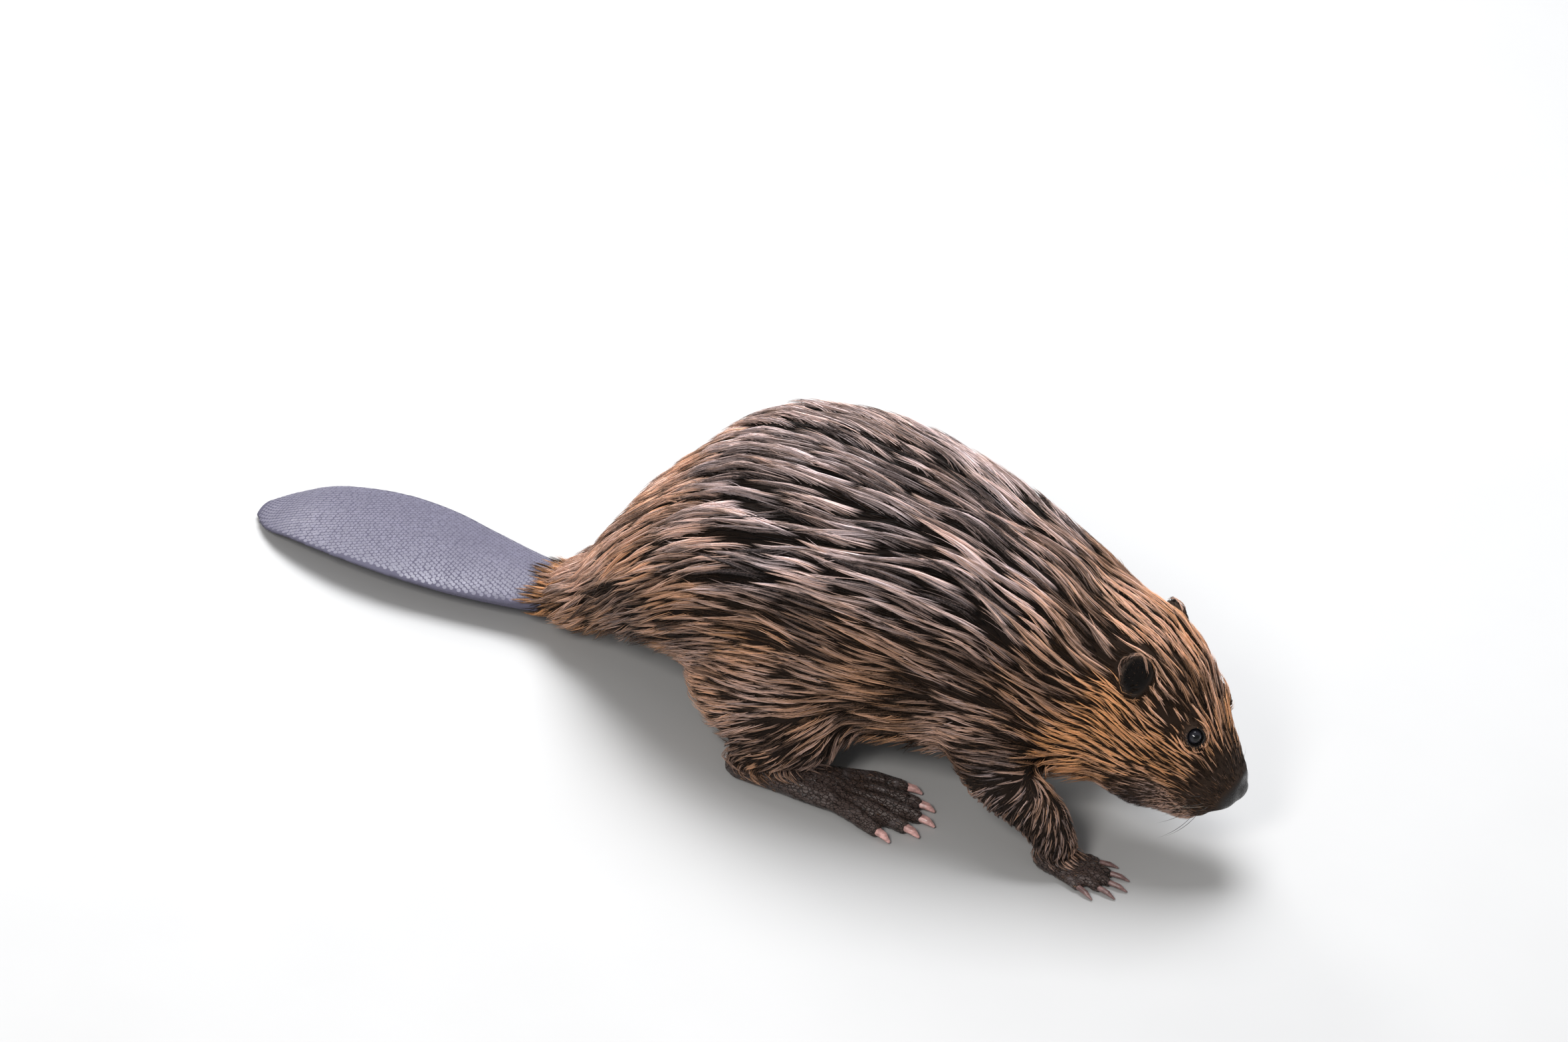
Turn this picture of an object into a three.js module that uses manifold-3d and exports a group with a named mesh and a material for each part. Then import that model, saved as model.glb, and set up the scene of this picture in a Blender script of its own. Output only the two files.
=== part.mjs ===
// A North American beaver at life size, creeping head down with its tail laid out behind: a still model.
// Frame: millimetres, +X towards the head, +Y to the animal's left, +Z up, on a floor at z = 0.
// The solids reach out to the tips of the coat. Neighbouring parts keep a thin gap.

import * as THREE from "three";
import { mergeVertices } from "three/addons/utils/BufferGeometryUtils.js";
import Module from "manifold-3d";

const wasm = await Module();
wasm.setup();

// ---- Driving dimensions --------------------------------------------------------------------------------------------
// Lengths run along the animal from a point on the floor beneath its hips. Limbs and feet are given for the right
// side, as distances out from the middle plane.

const GAP = 0.3; // clearance between touching parts
const REACH = 1000; // half-size of the block that trims what would pass below the floor

const HEAD = {
  x: 284, // midpoint between the ears
  z: 189,
  pitch: 50, // degrees that the muzzle points below the horizontal
  roll: -7, // degrees that the head tips about its own length; below zero lifts its right side
  rollAxis: -36, // height of the axis of that tip across the line from ears to nose
};

// Sections of the head, by distance s towards the nose from the ears and height n of the centre across that line:
// half-width, height above the centre, depth below it, and squareness, where 2 is an ellipse and more is boxier.
const HEAD_SECTIONS = [
  { name: "lip", s: 139, n: -26, width: 14, up: 12, down: 17, square: 2.2 },
  { name: "nose", s: 134, n: -25, width: 24, up: 19, down: 30, square: 2.3 },
  { name: "muzzle", s: 120, n: -28, width: 32, up: 27, down: 45, square: 2.3 },
  { name: "bridge", s: 98, n: -31, width: 40, up: 38, down: 58, square: 2.4 },
  { name: "eyes", s: 71, n: -34, width: 50, up: 48, down: 75, square: 2.4 },
  { name: "brow", s: 40, n: -38, width: 58, up: 59, down: 88, square: 2.3 },
  { name: "ears", s: 8, n: -42, width: 62, up: 66, down: 99, square: 2.15 },
];

// Sections of the rest of the body along its middle line, by place on the XZ plane.
const BODY_SECTIONS = [
  { name: "nape", x: 212, z: 152, width: 80, up: 93, down: 107, square: 2.15 },
  { name: "shoulder", x: 145, z: 148, width: 103, up: 119, down: 106, square: 2.15 },
  { name: "chest", x: 70, z: 150, width: 122, up: 134, down: 118, square: 2.15 },
  { name: "waist", x: 0, z: 152, width: 131, up: 137, down: 124, square: 2.15 },
  { name: "hump", x: -62, z: 148, width: 129, up: 128, down: 120, square: 2.15 },
  { name: "rump", x: -125, z: 126, width: 109, up: 86, down: 96, square: 2.1 },
  { name: "croup", x: -180, z: 88, width: 79, up: 55, down: 60, square: 2.1 },
  { name: "root", x: -226, z: 51, width: 50, up: 30, down: 34, square: 2.1 },
  { name: "tail_base", x: -262, z: 30, width: 36, up: 18, down: 20, square: 2.1 },
];
const NAPE_ROLL_SHARE = 0.35; // how much of the head's tip reaches the nape
const BODY_SIDES = 22; // points round each section

// The parting of the body into named lengths, and the number of steps along each.
const BODY_LENGTHS = [
  { name: "head", from: "lip", to: "ears", steps: 11 },
  { name: "neck", from: "ears", to: "nape", steps: 3 },
  { name: "shoulders", from: "nape", to: "chest", steps: 4 },
  { name: "trunk", from: "chest", to: "hump", steps: 4 },
  { name: "rump", from: "hump", to: "root", steps: 6 },
  { name: "tail_root", from: "root", to: "tail_base", steps: 2 },
];

// The paddle of the tail: middle line, half-width and half-thickness, from the fur to the tip.
const TAIL_SECTIONS = [
  { x: -252, z: 32.5, width: 32, thick: 14.5 },
  { x: -300, z: 27, width: 41, thick: 12.5 },
  { x: -350, z: 26, width: 51, thick: 10.5 },
  { x: -400, z: 27.5, width: 58, thick: 8.5 },
  { x: -450, z: 26, width: 57, thick: 7 },
  { x: -500, z: 19.5, width: 47, thick: 6.5 },
  { x: -532, z: 9, width: 33, thick: 6 },
  { x: -552, z: 3.5, width: 12, thick: 4.2 },
];
const TAIL_STEPS = 14;
const TAIL_SIDES = 16;
const TAIL_SQUARENESS = 1.7; // below 2 draws the edges of the paddle out thin

// Eye, nose and ear, placed along the head as on the left side. An ear lies `along` one way and faces another.
const EYE = { s: 66.5, y: 35.5, n: -1, radius: 7 };
const NOSE = { s: 134, n: -16, size: [8, 14, 12] };
const EAR = {
  s: -5,
  y: 51,
  n: -9,
  width: 14.5,
  thick: 5,
  length: 18.5,
  cup: 0.78, // size of the hollow, as a share of the ear's
  along: [-0.62, -0.36, 0.5],
  facing: [0.12, 0.8, 0.6],
};

// Legs: points along each, with half-sizes across and in height. The thigh is one rounded mass.
const THIGH = { x: -22, y: 84, z: 92, size: [86, 50, 84] };
const SHANK = [
  { x: 20, y: 98, z: 56, width: 26, height: 28 },
  { x: -8, y: 106, z: 42, width: 25, height: 27 },
  { x: -30, y: 108, z: 24, width: 18, height: 20 },
];
const UPPER_ARM = [
  { x: 158, y: 72, z: 122, width: 34, height: 46 },
  { x: 186, y: 88, z: 76, width: 28, height: 34 },
];
const FOREARM = [
  { x: 188, y: 88, z: 72, width: 26, height: 28 },
  { x: 226, y: 82, z: 48, width: 22, height: 24 },
  { x: 240, y: 79, z: 22, width: 17, height: 18 },
];

// Feet: the sole from heel to ball, then toes from the inner one out. A toe's spread is in degrees outwards.
const HIND_FOOT = {
  sole: [
    { x: -36, y: 108, z: 13, width: 15, height: 15 },
    { x: 0, y: 104, z: 12, width: 18, height: 14 },
    { x: 46, y: 94, z: 9, width: 29, height: 11 },
  ],
  toes: [
    { x: 48, y: 70, spread: -17, length: 46 },
    { x: 56, y: 80, spread: -9, length: 56 },
    { x: 60, y: 90, spread: -2, length: 60 },
    { x: 58, y: 101, spread: 5, length: 58 },
    { x: 50, y: 111, spread: 14, length: 50 },
  ],
  toeWidth: 8,
  toeHeight: 7.5,
  webThick: 4,
  clawLength: 15,
  clawWidth: 4.4,
};
const FORE_FOOT = {
  sole: [
    { x: 232, y: 80, z: 10, width: 15, height: 12 },
    { x: 254, y: 78, z: 7, width: 20, height: 10 },
  ],
  toes: [
    { x: 258, y: 64, spread: -20, length: 14 },
    { x: 264, y: 71, spread: -9, length: 22 },
    { x: 266, y: 79, spread: 0, length: 24 },
    { x: 264, y: 87, spread: 9, length: 22 },
    { x: 256, y: 93, spread: 20, length: 16 },
  ],
  toeWidth: 5.4,
  toeHeight: 5.4,
  webThick: 0, // the toes of a forefoot are free
  clawLength: 17,
  clawWidth: 2.8,
};
const WEB_REACH = 0.86; // how far along the toes the web reaches
const WEB_SCALLOP = 0.28; // how far its edge draws back between two toes
const LEFT_STEP = { hind: -28, fore: 16 }; // how far each left limb stands ahead of the right one

// ---- Shape helpers -------------------------------------------------------------------------------------------------

const UP = new THREE.Vector3(0, 0, 1);
const FORWARD = new THREE.Vector3(1, 0, 0);
const vec = (x, y, z) => new THREE.Vector3(x, y, z);
const radians = THREE.MathUtils.degToRad;

/** A closed surface through rings of points, with a flat fan over each end. */
function loft(rings) {
  const sides = rings[0].length;
  const middle = (ring) => ring.reduce((sum, point) => sum.add(point), vec(0, 0, 0)).divideScalar(sides);
  const points = [...rings.flat(), middle(rings[0]), middle(rings.at(-1))];
  const startHub = points.length - 2;
  const endHub = points.length - 1;
  const lastRing = (rings.length - 1) * sides;
  const faces = [];
  for (let j = 0; j < sides; j++) {
    const k = (j + 1) % sides;
    faces.push(startHub, j, k, endHub, lastRing + k, lastRing + j);
    for (let a = 0; a < lastRing; a += sides) {
      const b = a + sides;
      faces.push(a + j, b + j, a + k, a + k, b + j, b + k);
    }
  }
  const geometry = new THREE.BufferGeometry().setFromPoints(points);
  geometry.setIndex(faces);
  return solid(geometry);
}

/** The solid of a closed geometry, its faces turned to point outwards. */
function solid(geometry) {
  const bare = new THREE.BufferGeometry();
  bare.setAttribute("position", geometry.getAttribute("position"));
  bare.setIndex(geometry.getIndex());
  const merged = mergeVertices(bare);
  const vertProperties = merged.attributes.position.array;
  const triVerts = new Uint32Array(merged.index.array);
  const make = () => new wasm.Manifold(new wasm.Mesh({ numProp: 3, vertProperties, triVerts }));
  const made = make();
  if (made.volume() > 0) return made;
  for (let i = 0; i < triVerts.length; i += 3) {
    [triVerts[i + 1], triVerts[i + 2]] = [triVerts[i + 2], triVerts[i + 1]];
  }
  return make();
}

/** The geometry of a solid. */
function surface(made) {
  const mesh = made.getMesh();
  const geometry = new THREE.BufferGeometry();
  geometry.setAttribute("position", new THREE.Float32BufferAttribute(mesh.vertProperties, 3));
  geometry.setIndex(new THREE.Uint32BufferAttribute(mesh.triVerts, 1));
  return geometry;
}

/** A solid less its neighbours, without the slivers that such a cut can leave loose. */
function carve(host, ...neighbours) {
  const left = neighbours.reduce((rest, neighbour) => rest.subtract(neighbour), host);
  return left.decompose().reduce((most, piece) => (piece.volume() > most.volume() ? piece : most));
}

/** Points round an ellipse-like section that stands across `along`, wider above or below its centre. */
function section({ centre, along, up = UP, width, rise, drop = rise, sides, square = 2 }) {
  const across = new THREE.Vector3().crossVectors(up, along).normalize();
  const above = new THREE.Vector3().crossVectors(along, across);
  const bend = (value) => Math.sign(value) * Math.abs(value) ** (2 / square);
  return Array.from({ length: sides }, (_, j) => {
    const angle = (2 * Math.PI * j) / sides;
    const height = (Math.sin(angle) > 0 ? rise : drop) * bend(Math.sin(angle));
    return centre.clone().addScaledVector(across, width * bend(Math.cos(angle))).addScaledVector(above, height);
  });
}

/** A smooth curve through up to three columns of a table of sections. */
function column(rows, ...keys) {
  const points = rows.map((row) => vec(row[keys[0]], row[keys[1]] ?? 0, row[keys[2]] ?? 0));
  return new THREE.CatmullRomCurve3(points);
}

/** A limb through points, each with half-sizes across and in height, rounded over its end and, if asked, its root. */
function limb(knots, { sides = 10, steps = 2, dome = [0.5, 0.87], root = dome, grow = 0, up = UP } = {}) {
  const path = column(knots, "x", "y", "z");
  const sizes = column(knots, "width", "height");
  const ring = (t, share, ahead) => {
    const along = path.getTangent(t);
    const size = sizes.getPoint(t).addScalar(grow);
    const centre = path.getPoint(t).addScaledVector(along, ahead * Math.min(size.x, size.y));
    return section({ centre, along, up, width: size.x * share, rise: size.y * share, sides });
  };
  const reach = (share) => Math.sqrt(1 - share * share);
  const lengths = (knots.length - 1) * steps;
  return loft([
    ...root.map((share) => ring(0, share, -reach(share))),
    ...Array.from({ length: lengths + 1 }, (_, i) => ring(i / lengths, 1, 0)),
    ...dome.toReversed().map((share) => ring(1, share, reach(share))),
  ]);
}

/** An ellipsoid with half-sizes along axes that `turn`, a quaternion, may tip. */
function ellipsoid({ at, size, turn = new THREE.Quaternion(), detail = 8, grow = 0 }) {
  const ball = new THREE.SphereGeometry(1, detail * 2, detail);
  return solid(ball.applyMatrix4(new THREE.Matrix4().compose(at, turn, size.clone().addScalar(grow))));
}

const underFloor = solid(new THREE.BoxGeometry(REACH * 2, REACH * 2, REACH).translate(0, 0, -REACH / 2));

// ---- Head, neck, trunk and tail ------------------------------------------------------------------------------------

const headPitch = new THREE.Quaternion().setFromAxisAngle(vec(0, 1, 0), radians(HEAD.pitch));
const headRoll = new THREE.Quaternion().setFromAxisAngle(FORWARD, radians(HEAD.roll));
const headTurn = headPitch.clone().multiply(headRoll);

/** A point given along the head: s towards the nose, y to the left, n up across the line from ears to nose. */
function onHead(s, y, n) {
  const rolled = vec(0, y, n - HEAD.rollAxis).applyQuaternion(headRoll);
  return vec(s, rolled.y, rolled.z + HEAD.rollAxis).applyQuaternion(headPitch).add(vec(HEAD.x, 0, HEAD.z));
}

const headKnots = HEAD_SECTIONS.map((row) => ({ ...row, ...onHead(row.s, 0, row.n), roll: HEAD.roll }));
const bodyKnots = [
  ...headKnots,
  ...BODY_SECTIONS.map((row, i) => ({ ...row, y: 0, roll: i === 0 ? HEAD.roll * NAPE_ROLL_SHARE : 0 })),
];
const bodyLine = column(bodyKnots, "x", "y", "z");
const bodySize = column(bodyKnots, "width", "up", "down");
const bodyForm = column(bodyKnots, "square", "roll");

/** The share of the body line at which a named section stands. */
function station(name) {
  return bodyKnots.findIndex((knot) => knot.name === name) / (bodyKnots.length - 1);
}

/** One length of the body between two named sections, held back from its neighbours by half a gap. */
function bodyLength({ from, to, steps, grow = 0 }) {
  const rings = Array.from({ length: steps + 1 }, (_, i) => {
    const t = THREE.MathUtils.lerp(station(from), station(to), i / steps);
    const forward = bodyLine.getTangent(t).negate();
    const size = bodySize.getPoint(t).addScalar(grow);
    const form = bodyForm.getPoint(t);
    const end = i === 0 ? -1 : i === steps ? 1 : 0;
    return section({
      centre: bodyLine.getPoint(t).addScaledVector(forward, end * (GAP / 2 - grow)),
      along: forward,
      up: UP.clone().applyAxisAngle(forward, radians(form.y)),
      width: size.x,
      rise: size.y,
      drop: size.z,
      sides: BODY_SIDES,
      square: form.x,
    });
  });
  return loft(rings);
}

/** The flat scaly paddle behind the fur, its underside trimmed where it lies on the floor. */
function paddle() {
  const rows = TAIL_SECTIONS.map((row) => ({ ...row, y: 0 }));
  const line = column(rows, "x", "y", "z");
  const size = column(rows, "width", "thick");
  const rings = Array.from({ length: TAIL_STEPS + 1 }, (_, i) => {
    const t = i / TAIL_STEPS;
    const { x: width, y: rise } = size.getPoint(t);
    const along = line.getTangent(t).negate();
    return section({ centre: line.getPoint(t), along, width, rise, sides: TAIL_SIDES, square: TAIL_SQUARENESS });
  });
  return loft(rings).subtract(underFloor);
}

// ---- Eyes, ears and nose -------------------------------------------------------------------------------------------

function eye(side, grow = 0) {
  const size = vec(EYE.radius, EYE.radius, EYE.radius);
  return ellipsoid({ at: onHead(EYE.s, side * EYE.y, EYE.n), size, detail: 5, grow });
}

function nosePad(grow = 0) {
  return ellipsoid({ at: onHead(NOSE.s, 0, NOSE.n), size: vec(...NOSE.size), turn: headTurn, detail: 6, grow });
}

/** A short round ear that lies back along the head, hollowed on its outer face. */
function ear(side, grow = 0) {
  const facing = vec(EAR.facing[0], side * EAR.facing[1], EAR.facing[2]).normalize();
  const along = vec(EAR.along[0], side * EAR.along[1], EAR.along[2]).projectOnPlane(facing).normalize();
  const across = new THREE.Vector3().crossVectors(facing, along);
  const basis = new THREE.Matrix4().makeBasis(across, facing, along);
  const turn = new THREE.Quaternion().setFromRotationMatrix(basis).premultiply(headTurn);
  const size = vec(EAR.width, EAR.thick, EAR.length);
  const at = onHead(EAR.s, side * EAR.y, EAR.n);
  const flap = ellipsoid({ at, size, turn, detail: 6, grow });
  if (grow > 0) return flap;
  const mouth = vec(0, EAR.thick, 0).applyQuaternion(turn).add(at);
  return flap.subtract(ellipsoid({ at: mouth, size: size.clone().multiplyScalar(EAR.cup), turn, detail: 5 }));
}

// ---- Legs and feet -------------------------------------------------------------------------------------------------

/** Points of a right limb moved to either side, where a left limb stands `step` ahead. */
function placed(knots, side, step) {
  return knots.map((knot) => ({ ...knot, x: knot.x + (side > 0 ? step : 0), y: knot.y * side }));
}

function thigh(side, grow = 0) {
  const [{ x, y, z, size }] = placed([THIGH], side, LEFT_STEP.hind);
  return ellipsoid({ at: vec(x, y, z), size: vec(...size), detail: 7, grow }).subtract(underFloor);
}

function shank(side, grow = 0) {
  return limb(placed(SHANK, side, LEFT_STEP.hind), { grow }).subtract(underFloor);
}

function upperArm(side, grow = 0) {
  return limb(placed(UPPER_ARM, side, LEFT_STEP.fore), { grow, up: FORWARD });
}

function forearm(side, grow = 0) {
  return limb(placed(FOREARM, side, LEFT_STEP.fore), { grow, up: FORWARD }).subtract(underFloor);
}

/** A point at a distance ahead of a toe's root, in the direction that the toe spreads. */
function alongToe(toe, length) {
  const angle = radians(toe.spread);
  return { x: toe.x + length * Math.cos(angle), y: toe.y + length * Math.sin(angle) };
}

/** The points of one toe, from within the sole to its tip, arched a little over its middle joint. */
function toeKnots(foot, toe) {
  const knot = (share, rise, size) => ({
    ...alongToe(toe, toe.length * share),
    z: foot.toeHeight * rise,
    width: foot.toeWidth * size,
    height: foot.toeHeight * size,
  });
  return [knot(-0.3, 1, 0.95), knot(0.45, 1.25, 1), knot(1, 0.8, 0.85)];
}

/** A claw that grows from a toe's tip and curves down to the floor. */
function claw(foot, toe, side, step, grow = 0) {
  const knot = (ahead, z, size) => ({
    ...alongToe(toe, toe.length + foot.clawLength * ahead),
    z,
    width: foot.clawWidth * size,
    height: foot.clawWidth * size * 0.8,
  });
  const knots = [
    knot(0, foot.toeHeight * 0.9, 1),
    knot(0.55, foot.toeHeight * 0.8, 0.9),
    knot(1, foot.clawWidth * 0.5, 0.3),
  ];
  return limb(placed(knots, side, step), { sides: 6, steps: 1, dome: [], grow }).subtract(underFloor);
}

/** The web between neighbouring toes: a thin plate whose edge draws back in shallow scallops. */
function web(foot, side, step) {
  const ends = (share) => placed(foot.toes.map((toe) => alongToe(toe, toe.length * share)), side, step);
  const roots = ends(0);
  const tips = ends(WEB_REACH);
  const outline = new THREE.Shape().moveTo(roots[0].x, roots[0].y).lineTo(tips[0].x, tips[0].y);
  for (let i = 1; i < tips.length; i++) {
    const edgeX = (tips[i - 1].x + tips[i].x) / 2;
    const edgeY = (tips[i - 1].y + tips[i].y) / 2;
    outline.quadraticCurveTo(THREE.MathUtils.lerp(edgeX, roots[i].x, WEB_SCALLOP), edgeY, tips[i].x, tips[i].y);
  }
  outline.lineTo(roots.at(-1).x, roots.at(-1).y);
  return solid(new THREE.ExtrudeGeometry(outline, { depth: foot.webThick, bevelEnabled: false, curveSegments: 3 }));
}

/** A whole foot without its claws, flat underneath. */
function foot(shape, side, step, grow = 0) {
  const toes = shape.toes.map((toe) =>
    limb(placed(toeKnots(shape, toe), side, step), { sides: 6, steps: 1, dome: [0.7], root: [], grow }),
  );
  const webs = shape.webThick > 0 ? [web(shape, side, step)] : [];
  const sole = limb(placed(shape.sole, side, step), { sides: 8, steps: 1, dome: [0.7], grow });
  return [...toes, ...webs].reduce((made, piece) => made.add(piece), sole).subtract(underFloor);
}

// ---- The animal, part by part --------------------------------------------------------------------------------------

const finish = (color, roughness) => new THREE.MeshStandardMaterial({ color, roughness, metalness: 0 });
const COAT = finish(0x4a352b, 0.6);
const FACE = finish(0x5a3b28, 0.6);
const EAR_SKIN = finish(0x15110f, 0.5);
const TAIL_SKIN = finish(0x5b5f6b, 0.45);
const FOOT_SKIN = finish(0x241c1a, 0.4);
const NOSE_SKIN = finish(0x17130f, 0.35);
const CLAW_HORN = finish(0x8a6360, 0.4);
const EYE_GLOSS = finish(0x0c0a0a, 0.08);

const SIDES = { right: -1, left: 1 };
const LIMBS = [
  { name: "hind", upper: thigh, lower: shank, shape: HIND_FOOT },
  { name: "fore", upper: upperArm, lower: forearm, shape: FORE_FOOT },
];

const beaver = new THREE.Group();

function addNode(name, made, material) {
  const mesh = new THREE.Mesh(surface(made), material);
  mesh.name = name;
  beaver.add(mesh);
}

/** The head, neck, trunk and root of the tail, each hollowed to take what is set in it. */
function addBody() {
  const both = (make) => Object.values(SIDES).map((side) => make(side, GAP));
  const setIn = [...[eye, ear, thigh, shank, upperArm, forearm].flatMap(both), nosePad(GAP)];
  for (const length of BODY_LENGTHS) {
    addNode(length.name, carve(bodyLength(length), ...setIn), length.name === "head" ? FACE : COAT);
  }
  addNode("nose", nosePad(), NOSE_SKIN);
  addNode("tail", carve(paddle(), bodyLength({ ...BODY_LENGTHS.at(-1), grow: GAP })), TAIL_SKIN);
}

/** One leg from thigh or upper arm to claws. */
function addLeg({ name, upper, lower, shape }, sideName) {
  const side = SIDES[sideName];
  const step = LEFT_STEP[name];
  const wholeFoot = foot(shape, side, step, GAP);
  const claws = shape.toes.map((toe) => claw(shape, toe, side, step, GAP));
  addNode(`${name}_upper_leg_${sideName}`, carve(upper(side), lower(side, GAP), wholeFoot), COAT);
  addNode(`${name}_lower_leg_${sideName}`, carve(lower(side), wholeFoot), COAT);
  addNode(`${name}_foot_${sideName}`, carve(foot(shape, side, step), ...claws), FOOT_SKIN);
  shape.toes.forEach((toe, i) => addNode(`${name}_claw_${sideName}_${i + 1}`, claw(shape, toe, side, step), CLAW_HORN));
}

addBody();
for (const [sideName, side] of Object.entries(SIDES)) {
  addNode(`eye_${sideName}`, eye(side), EYE_GLOSS);
  addNode(`ear_${sideName}`, ear(side), EAR_SKIN);
  LIMBS.forEach((leg) => addLeg(leg, sideName));
}

// The origin is on the floor, beneath the middle of the animal's whole length and width.
const middle = new THREE.Box3().setFromObject(beaver).getCenter(new THREE.Vector3());
beaver.position.set(-middle.x, -middle.y, 0);
const group = new THREE.Group().add(beaver);

export default group;
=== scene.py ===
"""A North American beaver at life size, creeping head down, its coat wet and drawn into locks.

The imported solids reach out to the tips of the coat. One skin lies inside them by the coat's depth. The
coat, scales, claws, eyes and whiskers are solid meshes set on that skin. Lengths are metres, +X points
to the head, +Y to the animal's left and +Z up.
"""

import math

import bmesh
import bpy
import numpy as np
from bpy.props import FloatProperty, FloatVectorProperty, IntProperty, PointerProperty
from mathutils import Matrix, Quaternion, Vector, kdtree
from mathutils.bvhtree import BVHTree


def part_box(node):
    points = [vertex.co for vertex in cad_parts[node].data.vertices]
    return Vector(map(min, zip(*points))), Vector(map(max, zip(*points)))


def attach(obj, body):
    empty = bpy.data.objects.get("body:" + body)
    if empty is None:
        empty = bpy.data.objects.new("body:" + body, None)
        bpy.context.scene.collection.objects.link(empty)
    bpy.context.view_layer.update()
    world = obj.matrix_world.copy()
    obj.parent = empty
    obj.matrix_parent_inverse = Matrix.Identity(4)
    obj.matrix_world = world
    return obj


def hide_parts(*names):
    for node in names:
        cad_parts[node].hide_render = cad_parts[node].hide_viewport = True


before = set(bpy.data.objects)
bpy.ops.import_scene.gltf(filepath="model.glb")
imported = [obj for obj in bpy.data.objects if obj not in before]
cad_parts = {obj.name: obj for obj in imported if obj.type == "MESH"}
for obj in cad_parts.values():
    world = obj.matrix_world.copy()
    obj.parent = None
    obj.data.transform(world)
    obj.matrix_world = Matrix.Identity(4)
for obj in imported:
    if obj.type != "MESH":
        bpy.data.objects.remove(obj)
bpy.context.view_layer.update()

bl_info = {
    "name": "Beaver",
    "version": (1, 0, 0),
    "blender": (4, 5, 0),
    "location": "3D View > Sidebar > Beaver",
    "description": "Dresses a life-size beaver in skin, wet coat, tail scales, claws, eyes and whiskers",
    "category": "Object",
}

MM = 0.001
SIDES = {"right": -1, "left": 1}

# ---- Where the animal's parts lie ----------------------------------------------------------------

HIPS_X = 0.0922  # place of the hips along X
HEAD_AT = Vector((HIPS_X + 0.284, 0, 0.189))  # midpoint between the ears
HEAD_PITCH = math.radians(50)
HEAD_ROLL = math.radians(-7)
HEAD_ROLL_HEIGHT = -0.036  # height of the axis of the roll across the line from ears to nose

# The middle line of the body from nape to tail, as distance ahead of the hips and height.
BODY_LINE = {
    "throat": (0.262, 0.160),
    "nape": (0.212, 0.152),
    "shoulder": (0.145, 0.148),
    "chest": (0.070, 0.150),
    "waist": (0.000, 0.152),
    "hump": (-0.062, 0.148),
    "rump": (-0.125, 0.126),
    "croup": (-0.180, 0.088),
    "root": (-0.226, 0.051),
    "tail": (-0.262, 0.030),
}
LINE_X = np.array([HIPS_X + x for x, z in BODY_LINE.values()])[::-1]
LINE_Z = np.array([z for x, z in BODY_LINE.values()])[::-1]

BODY_NODES = ("head", "neck", "shoulders", "trunk", "rump", "tail_root")
LEG_NODES = [
    f"{end}_{part}_{side}"
    for end in ("hind", "fore")
    for part in ("upper_leg", "lower_leg")
    for side in SIDES
]
FOOT_NODES = [f"{end}_foot_{side}" for end in ("hind", "fore") for side in SIDES]
BARE_NODES = ["ear_right", "ear_left", "nose", "tail", *FOOT_NODES]

_head_turn = Quaternion((0, 1, 0), HEAD_PITCH)
_head_roll = Quaternion((1, 0, 0), HEAD_ROLL)


def on_head(s, y, n):
    """A point given along the head: s towards the nose, y to the left, n up across that line."""
    rolled = _head_roll @ Vector((0, y, n - HEAD_ROLL_HEIGHT))
    return _head_turn @ Vector((s, rolled.y, rolled.z + HEAD_ROLL_HEIGHT)) + HEAD_AT


HEAD_AXES = np.array([
    (_head_turn @ _head_roll) @ Vector(axis) for axis in ((1, 0, 0), (0, 1, 0), (0, 0, 1))
])
HEAD_ORIGIN = np.array(on_head(0, 0, 0))


def head_places(points):
    """Points as (s, y, n) along the head."""
    return (points - HEAD_ORIGIN) @ HEAD_AXES.T


def box_centre(node):
    low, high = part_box(node)
    return (low + high) / 2


EYES = {side: box_centre(f"eye_{side}") for side in SIDES}
EARS = {side: box_centre(f"ear_{side}") for side in SIDES}
NOSE = box_centre("nose")
EYE_RADIUS = (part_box("eye_left")[1].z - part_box("eye_left")[0].z) / 2
EYE_OUT = {  # the way each eye looks
    side: HEAD_AXES[0] * 0.20 + HEAD_AXES[1] * sign * 0.76 + HEAD_AXES[2] * 0.62
    for side, sign in SIDES.items()
}

# The bare skin round nose and upper lip: places along the head, and how far each reaches.
BARE_SPOTS = (
    ((0.134, 0, -0.016), 0.0185),
    ((0.132, 0, -0.034), 0.0175),
    ((0.124, 0, -0.048), 0.0165),
)
BARE_STRETCH = (1, 0.62, 1)  # the spots are wider than high, so distance across the head counts for less
BARE_EDGE = 0.74  # share of a spot's reach within which no hair grows

# ---- The coat, zone by zone ----------------------------------------------------------------------

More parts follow.
